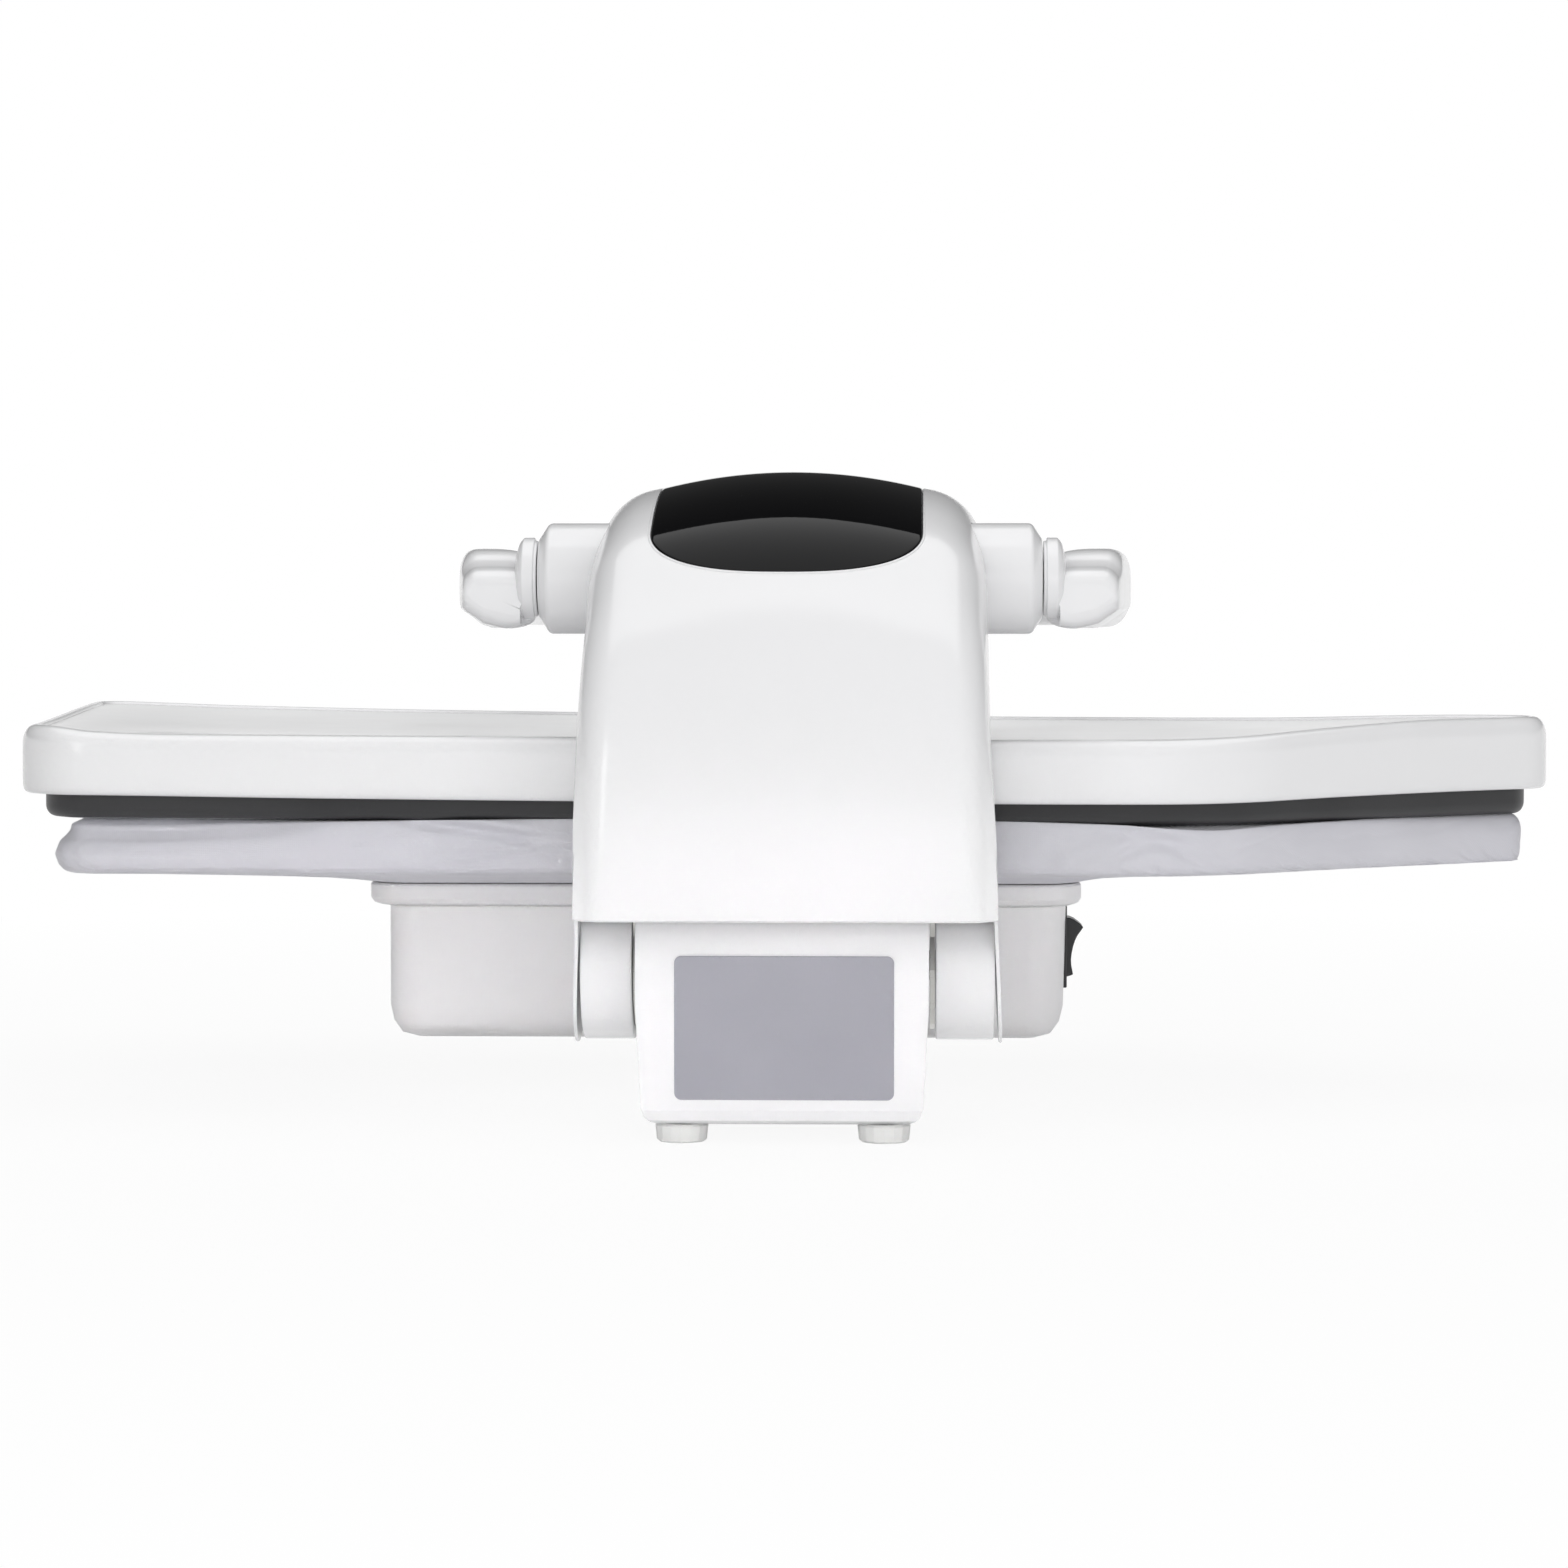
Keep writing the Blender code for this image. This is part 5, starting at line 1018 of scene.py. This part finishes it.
def makeHem():
    # The cover's gathered skirt: in under the pad to the board's neck, then down the flared
    # neck to the deck. Folds are sines of the way round, deepest half-way down.
    start = plateLoop(hem["start"], steps=pad)
    low, high = np.array(hem["deckLow"]), np.array(hem["deckHigh"])
    centre = (low + high) / 2

    def neck(spread, clear):
        right, rear, left = np.array(hem["flare"]) * spread
        box = rectangleCorners((low[0] - right, low[1] + hem["frontFlare"] * spread),
                               (high[0] + left, high[1] + rear))
        radii = hem["deckRadius"] + np.array([right, rear, rear, right])
        plan = outline(box, radii, hem["deckInset"] - clear, 30, 40)
        return facing(start, plan, centre)

    wide = neck(1.0, 0.0012)
    rows = [(start * (1 - t) + wide * t, z) for t, z in ((0.0, 0.0964), (0.1, 0.0957), (0.35, 0.0948),
                                                         (0.65, 0.0938), (0.85, 0.0931))]
    rows += [(neck(spread, 0.0013), z) for spread, z in ((1.0, 0.0925), (0.82, 0.0917), (0.62, 0.0909),
                                                         (0.4, 0.0902), (0.2, 0.0894), (0.06, 0.0888))]
    rows += [(neck(spread, 0.0004), z) for spread, z in ((0.0, 0.0884), (0.3, 0.0911), (1.0, 0.0948))]
    rows.append((start * 0.9 + wide * 0.1, 0.0966))
    grid = np.stack([atHeight(plan, z) for plan, z in rows])
    length = np.concatenate([[0], np.cumsum(np.linalg.norm(np.diff(start, axis=0), axis=1))])
    turn = 2 * np.pi * length / (length[-1] + np.linalg.norm(start[0] - start[-1]))
    fold = sum(np.sin(n * turn + p + 1.5 * np.sin(7 * turn + p))
               for n, p in zip(hem["folds"], hem["phases"])) / len(hem["folds"])
    depth = hem["foldDepth"] * np.array([0, 0.3, 0.6, 0.8, 0.9, 0.9, 0.9, 0.8, 0.6, 0.4, 0.2, 0, 0, 0, 0])[:, None]
    away = unit(grid[..., :2] - centre)
    grid[..., :2] += away * (depth * (0.45 + 0.55 * fold))[..., None]
    grid[1:6, :, 2] += (depth[1:6] * 0.35 * (fold - 1))
    threads = np.stack([np.broadcast_to(length, grid.shape[:2]), grid[..., 2] * 1.4 + 0 * length], -1)
    tubeGrid("coverHem", grid, hemClothPaintedLighter, "base", ["cover_hem"], "pad_cloth", angle=80, ring=True, uv=threads)


ratingPlate = {"middle": (-0.0009, 0.0432), "size": (0.0862, 0.0566), "radius": 0.0028, "face": 0.205,
               "thickness": 0.0004}


def makeRatingPlate():
    # a rounded rectangle in X and Z, its edge eased over two loops, on the rear box
    middle, size = np.array(ratingPlate["middle"]), np.array(ratingPlate["size"])
    corners = rectangleCorners(middle - size / 2, middle + size / 2)
    rows = []
    for inset, y in ((0.0, -0.0002), (0.0, 0.6), (0.0001, 0.85), (0.0003, 1.0), (0.001, 1.0), (0.008, 1.0)):
        plan = outline(corners, np.full(4, ratingPlate["radius"]), inset, 12)
        depth = ratingPlate["face"] + (ratingPlate["thickness"] * y if y > 0 else y)
        rows.append(np.column_stack([plan[:, 0], np.full(len(plan), depth), plan[:, 1]]))
    tubeGrid("ratingPlate", np.stack(rows), plateSilver, "base", (), "cast_aluminium", angle=40)


makeHood()
makePanel()
makeHandle()
makeTurnings()
print("arm, panel, handle and turnings made")
makePlateCover()
makeHeatShield()
for node, name, material, slot in (("heating_plate", "heatingPlate", castAluminium, "cast_aluminium"),
                                   ("heating_element", "heatingElement", zincSteel, "zinc_steel"),
                                   ("thermostat", "thermostatCan", zincSteel, "zinc_steel")):
    finerCopy(node, name, material, "plate", slot, tilt=plateTilt)
print("pressing plate made")
shifted(finerCopy("base_shell", "baseBody", whiteSatin, "base", "white_abs", 0.0008), 0, leanOut)
makeRocker()
finerCopy("base_deck", "baseFlange", whiteSatin, "base", "white_abs", 0.0012)
finerCopy("hinge_housing", "rearBox", whiteShell, "base", "white_abs", 0.001)
print("base made")
makePad()
makeHem()
makeRatingPlate()
print("board, hem and rating plate made")


studio = {
    "camera": (-0.0584, 1.9045, 0.2168), "yaw": 1.79, "pitch": 2.52, "lens": 100.0,
    # brightness of the room: behind the camera, behind the object, and the white sweep's band
    "nearRoom": 0.65, "farRoom": 0.05, "band": 0.95, "bandTop": 0.14, "lean": (-0.03, 1.0),
    # painted shade: over this X the floor's colour for bounced light turns darker, which shades the object's left
    # end
    "floorPaintedShade": (0.18, 0.42),                # X over which the floor darkens, but not to the camera
    "whitens": (0.92, 1.0, 0.4, 1.1),   # share of pure white, near and far, and over which distances
    "lamps": [
        # name, place, aimed at, size across and up, brightness of its face, seen in gloss, spread
        ("overheadSoftbox", (0.0, -0.3, 2.2), (0.0, -0.3, 0.0), (3.2, 2.3), 1.4, True, 180),
        ("keySoftbox", (1.25, 2.35, 0.75), (0.0, 0.15, 0.12), (0.5, 1.1), 2.9, True, 180),
        ("lowFill", (-0.45, 2.7, 0.26), (0.0, 0.1, 0.06), (2.4, 0.5), 4.6, False, 180),
        ("baseFill", (0.1, 2.0, 0.06), (0.14, 0.03, 0.055), (0.5, 0.05), 0.5, False, 8)],
}


def mixShaders(tree, factor, first, second):
    return addNode(tree, "MixShader", {0: factor, 1: first, 2: second}).outputs[0]


def backgroundRays(tree, glossShare=1.0):
    # 1 for camera and glass rays, the given share for rays off gloss and metal, 0 for all others
    ray = addNode(tree, "LightPath").outputs
    first = calculate(tree, "MAXIMUM", ray["Is Camera Ray"], ray["Is Transmission Ray"])
    return calculate(tree, "MAXIMUM", first, calculate(tree, "MULTIPLY", ray["Is Glossy Ray"], glossShare))


def makeFloor():
    bpy.ops.mesh.primitive_plane_add(size=40, location=(0, 0, 0))
    floor = bpy.context.object
    floor.name = "studioFloor"
    pale = (0.96, 0.96, 0.96)
    values = {"Base Color": pale, "Roughness": 0.9, "Specular IOR Level": 0.1}
    material, tree, shader, position = newMaterial("floorWhite", **values)
    away = addNode(tree, "VectorMath", {0: position}, operation="LENGTH").outputs["Value"]
    white = addNode(tree, "Emission", {"Color": (1, 1, 1), "Strength": 1.0}).outputs[0]
    seen = mixShaders(tree, ranged(tree, away, *studio["whitens"]), shader.outputs[0], white)
    # past the object's left end the floor's colour for bounced light is painted darker, a painted shade that
    # darkens the object's left end as a black card beside it would; the camera still sees the floor pale
    east = addNode(tree, "SeparateXYZ", {0: position}).outputs["X"]
    given = mixColours(tree, ranged(tree, east, 0.0, 1.0, *studio["floorPaintedShade"]), pale, (0.48, 0.48, 0.48))
    lit = addNode(tree, "BsdfDiffuse", {"Color": given}).outputs[0]
    plug(tree.nodes["Material Output"], {"Surface": mixShaders(tree, backgroundRays(tree), lit, seen)})
    floor.data.materials.append(material)


def makeWorld():
    # Pure white where the camera looks past the object. Elsewhere a room that is bright behind
    # the camera and dim behind the object, above the band that the white sweep reaches up to.
    world = bpy.data.worlds.new("studioRoom")
    bpy.context.scene.world = world
    world.use_nodes = True
    tree = world.node_tree
    tree.nodes.clear()
    way = addNode(tree, "TexCoord").outputs["Generated"]
    up = addNode(tree, "SeparateXYZ", {0: way}).outputs["Z"]
    toCamera = addNode(tree, "VectorMath", {0: way, 1: (*studio["lean"], 0.0)}, operation="DOT_PRODUCT")
    room = ranged(tree, toCamera.outputs["Value"], studio["farRoom"], studio["nearRoom"], -0.25, 0.72,
                  interpolation_type="SMOOTHSTEP")
    above = ranged(tree, up, 0.0, 1.0, studio["bandTop"] - 0.03, studio["bandTop"])
    level = addNode(tree, "Mix", {0: above, 2: studio["band"], 3: room}).outputs[0]
    shade, white = (addNode(tree, "Background", {"Color": (1, 1, 1), "Strength": strength}).outputs[0]
                    for strength in (level, 1.0))
    # gloss and metal show the white background as far up as the sweep reaches
    seen = backgroundRays(tree, calculate(tree, "SUBTRACT", 1.0, above))
    addNode(tree, "OutputWorld", {"Surface": mixShaders(tree, seen, shade, white)})


def makeLamps():
    # the power is the face's brightness times pi times its area
    for name, place, target, size, level, inGloss, spread in studio["lamps"]:
        lamp = bpy.data.lights.new(name, "AREA")
        lamp.shape = "RECTANGLE"
        lamp.size, lamp.size_y = size
        lamp.spread = math.radians(spread)
        lamp.energy = level * math.pi * size[0] * size[1]
        holder = bpy.data.objects.new(name, lamp)
        holder.location = place
        holder.visible_glossy = inGloss
        holder.rotation_euler = (Vector(target) - Vector(place)).to_track_quat("-Z", "Y").to_euler()
        bpy.context.scene.collection.objects.link(holder)


def makeCamera():
    yaw, pitch = math.radians(studio["yaw"]), math.radians(studio["pitch"])
    look = Vector((math.sin(yaw) * math.cos(pitch), -math.cos(yaw) * math.cos(pitch), -math.sin(pitch)))
    lens = bpy.data.cameras.new("photoCamera")
    lens.sensor_width = 36.0
    lens.lens = studio["lens"]
    lens.clip_end = 60.0
    camera = bpy.data.objects.new("photoCamera", lens)
    camera.location = studio["camera"]
    camera.rotation_euler = look.to_track_quat("-Z", "Y").to_euler()
    bpy.context.scene.collection.objects.link(camera)
    bpy.context.scene.camera = camera


makeFloor()
makeWorld()
makeLamps()
makeCamera()
bpy.context.scene.view_settings.view_transform = "Standard"
print("studio made")
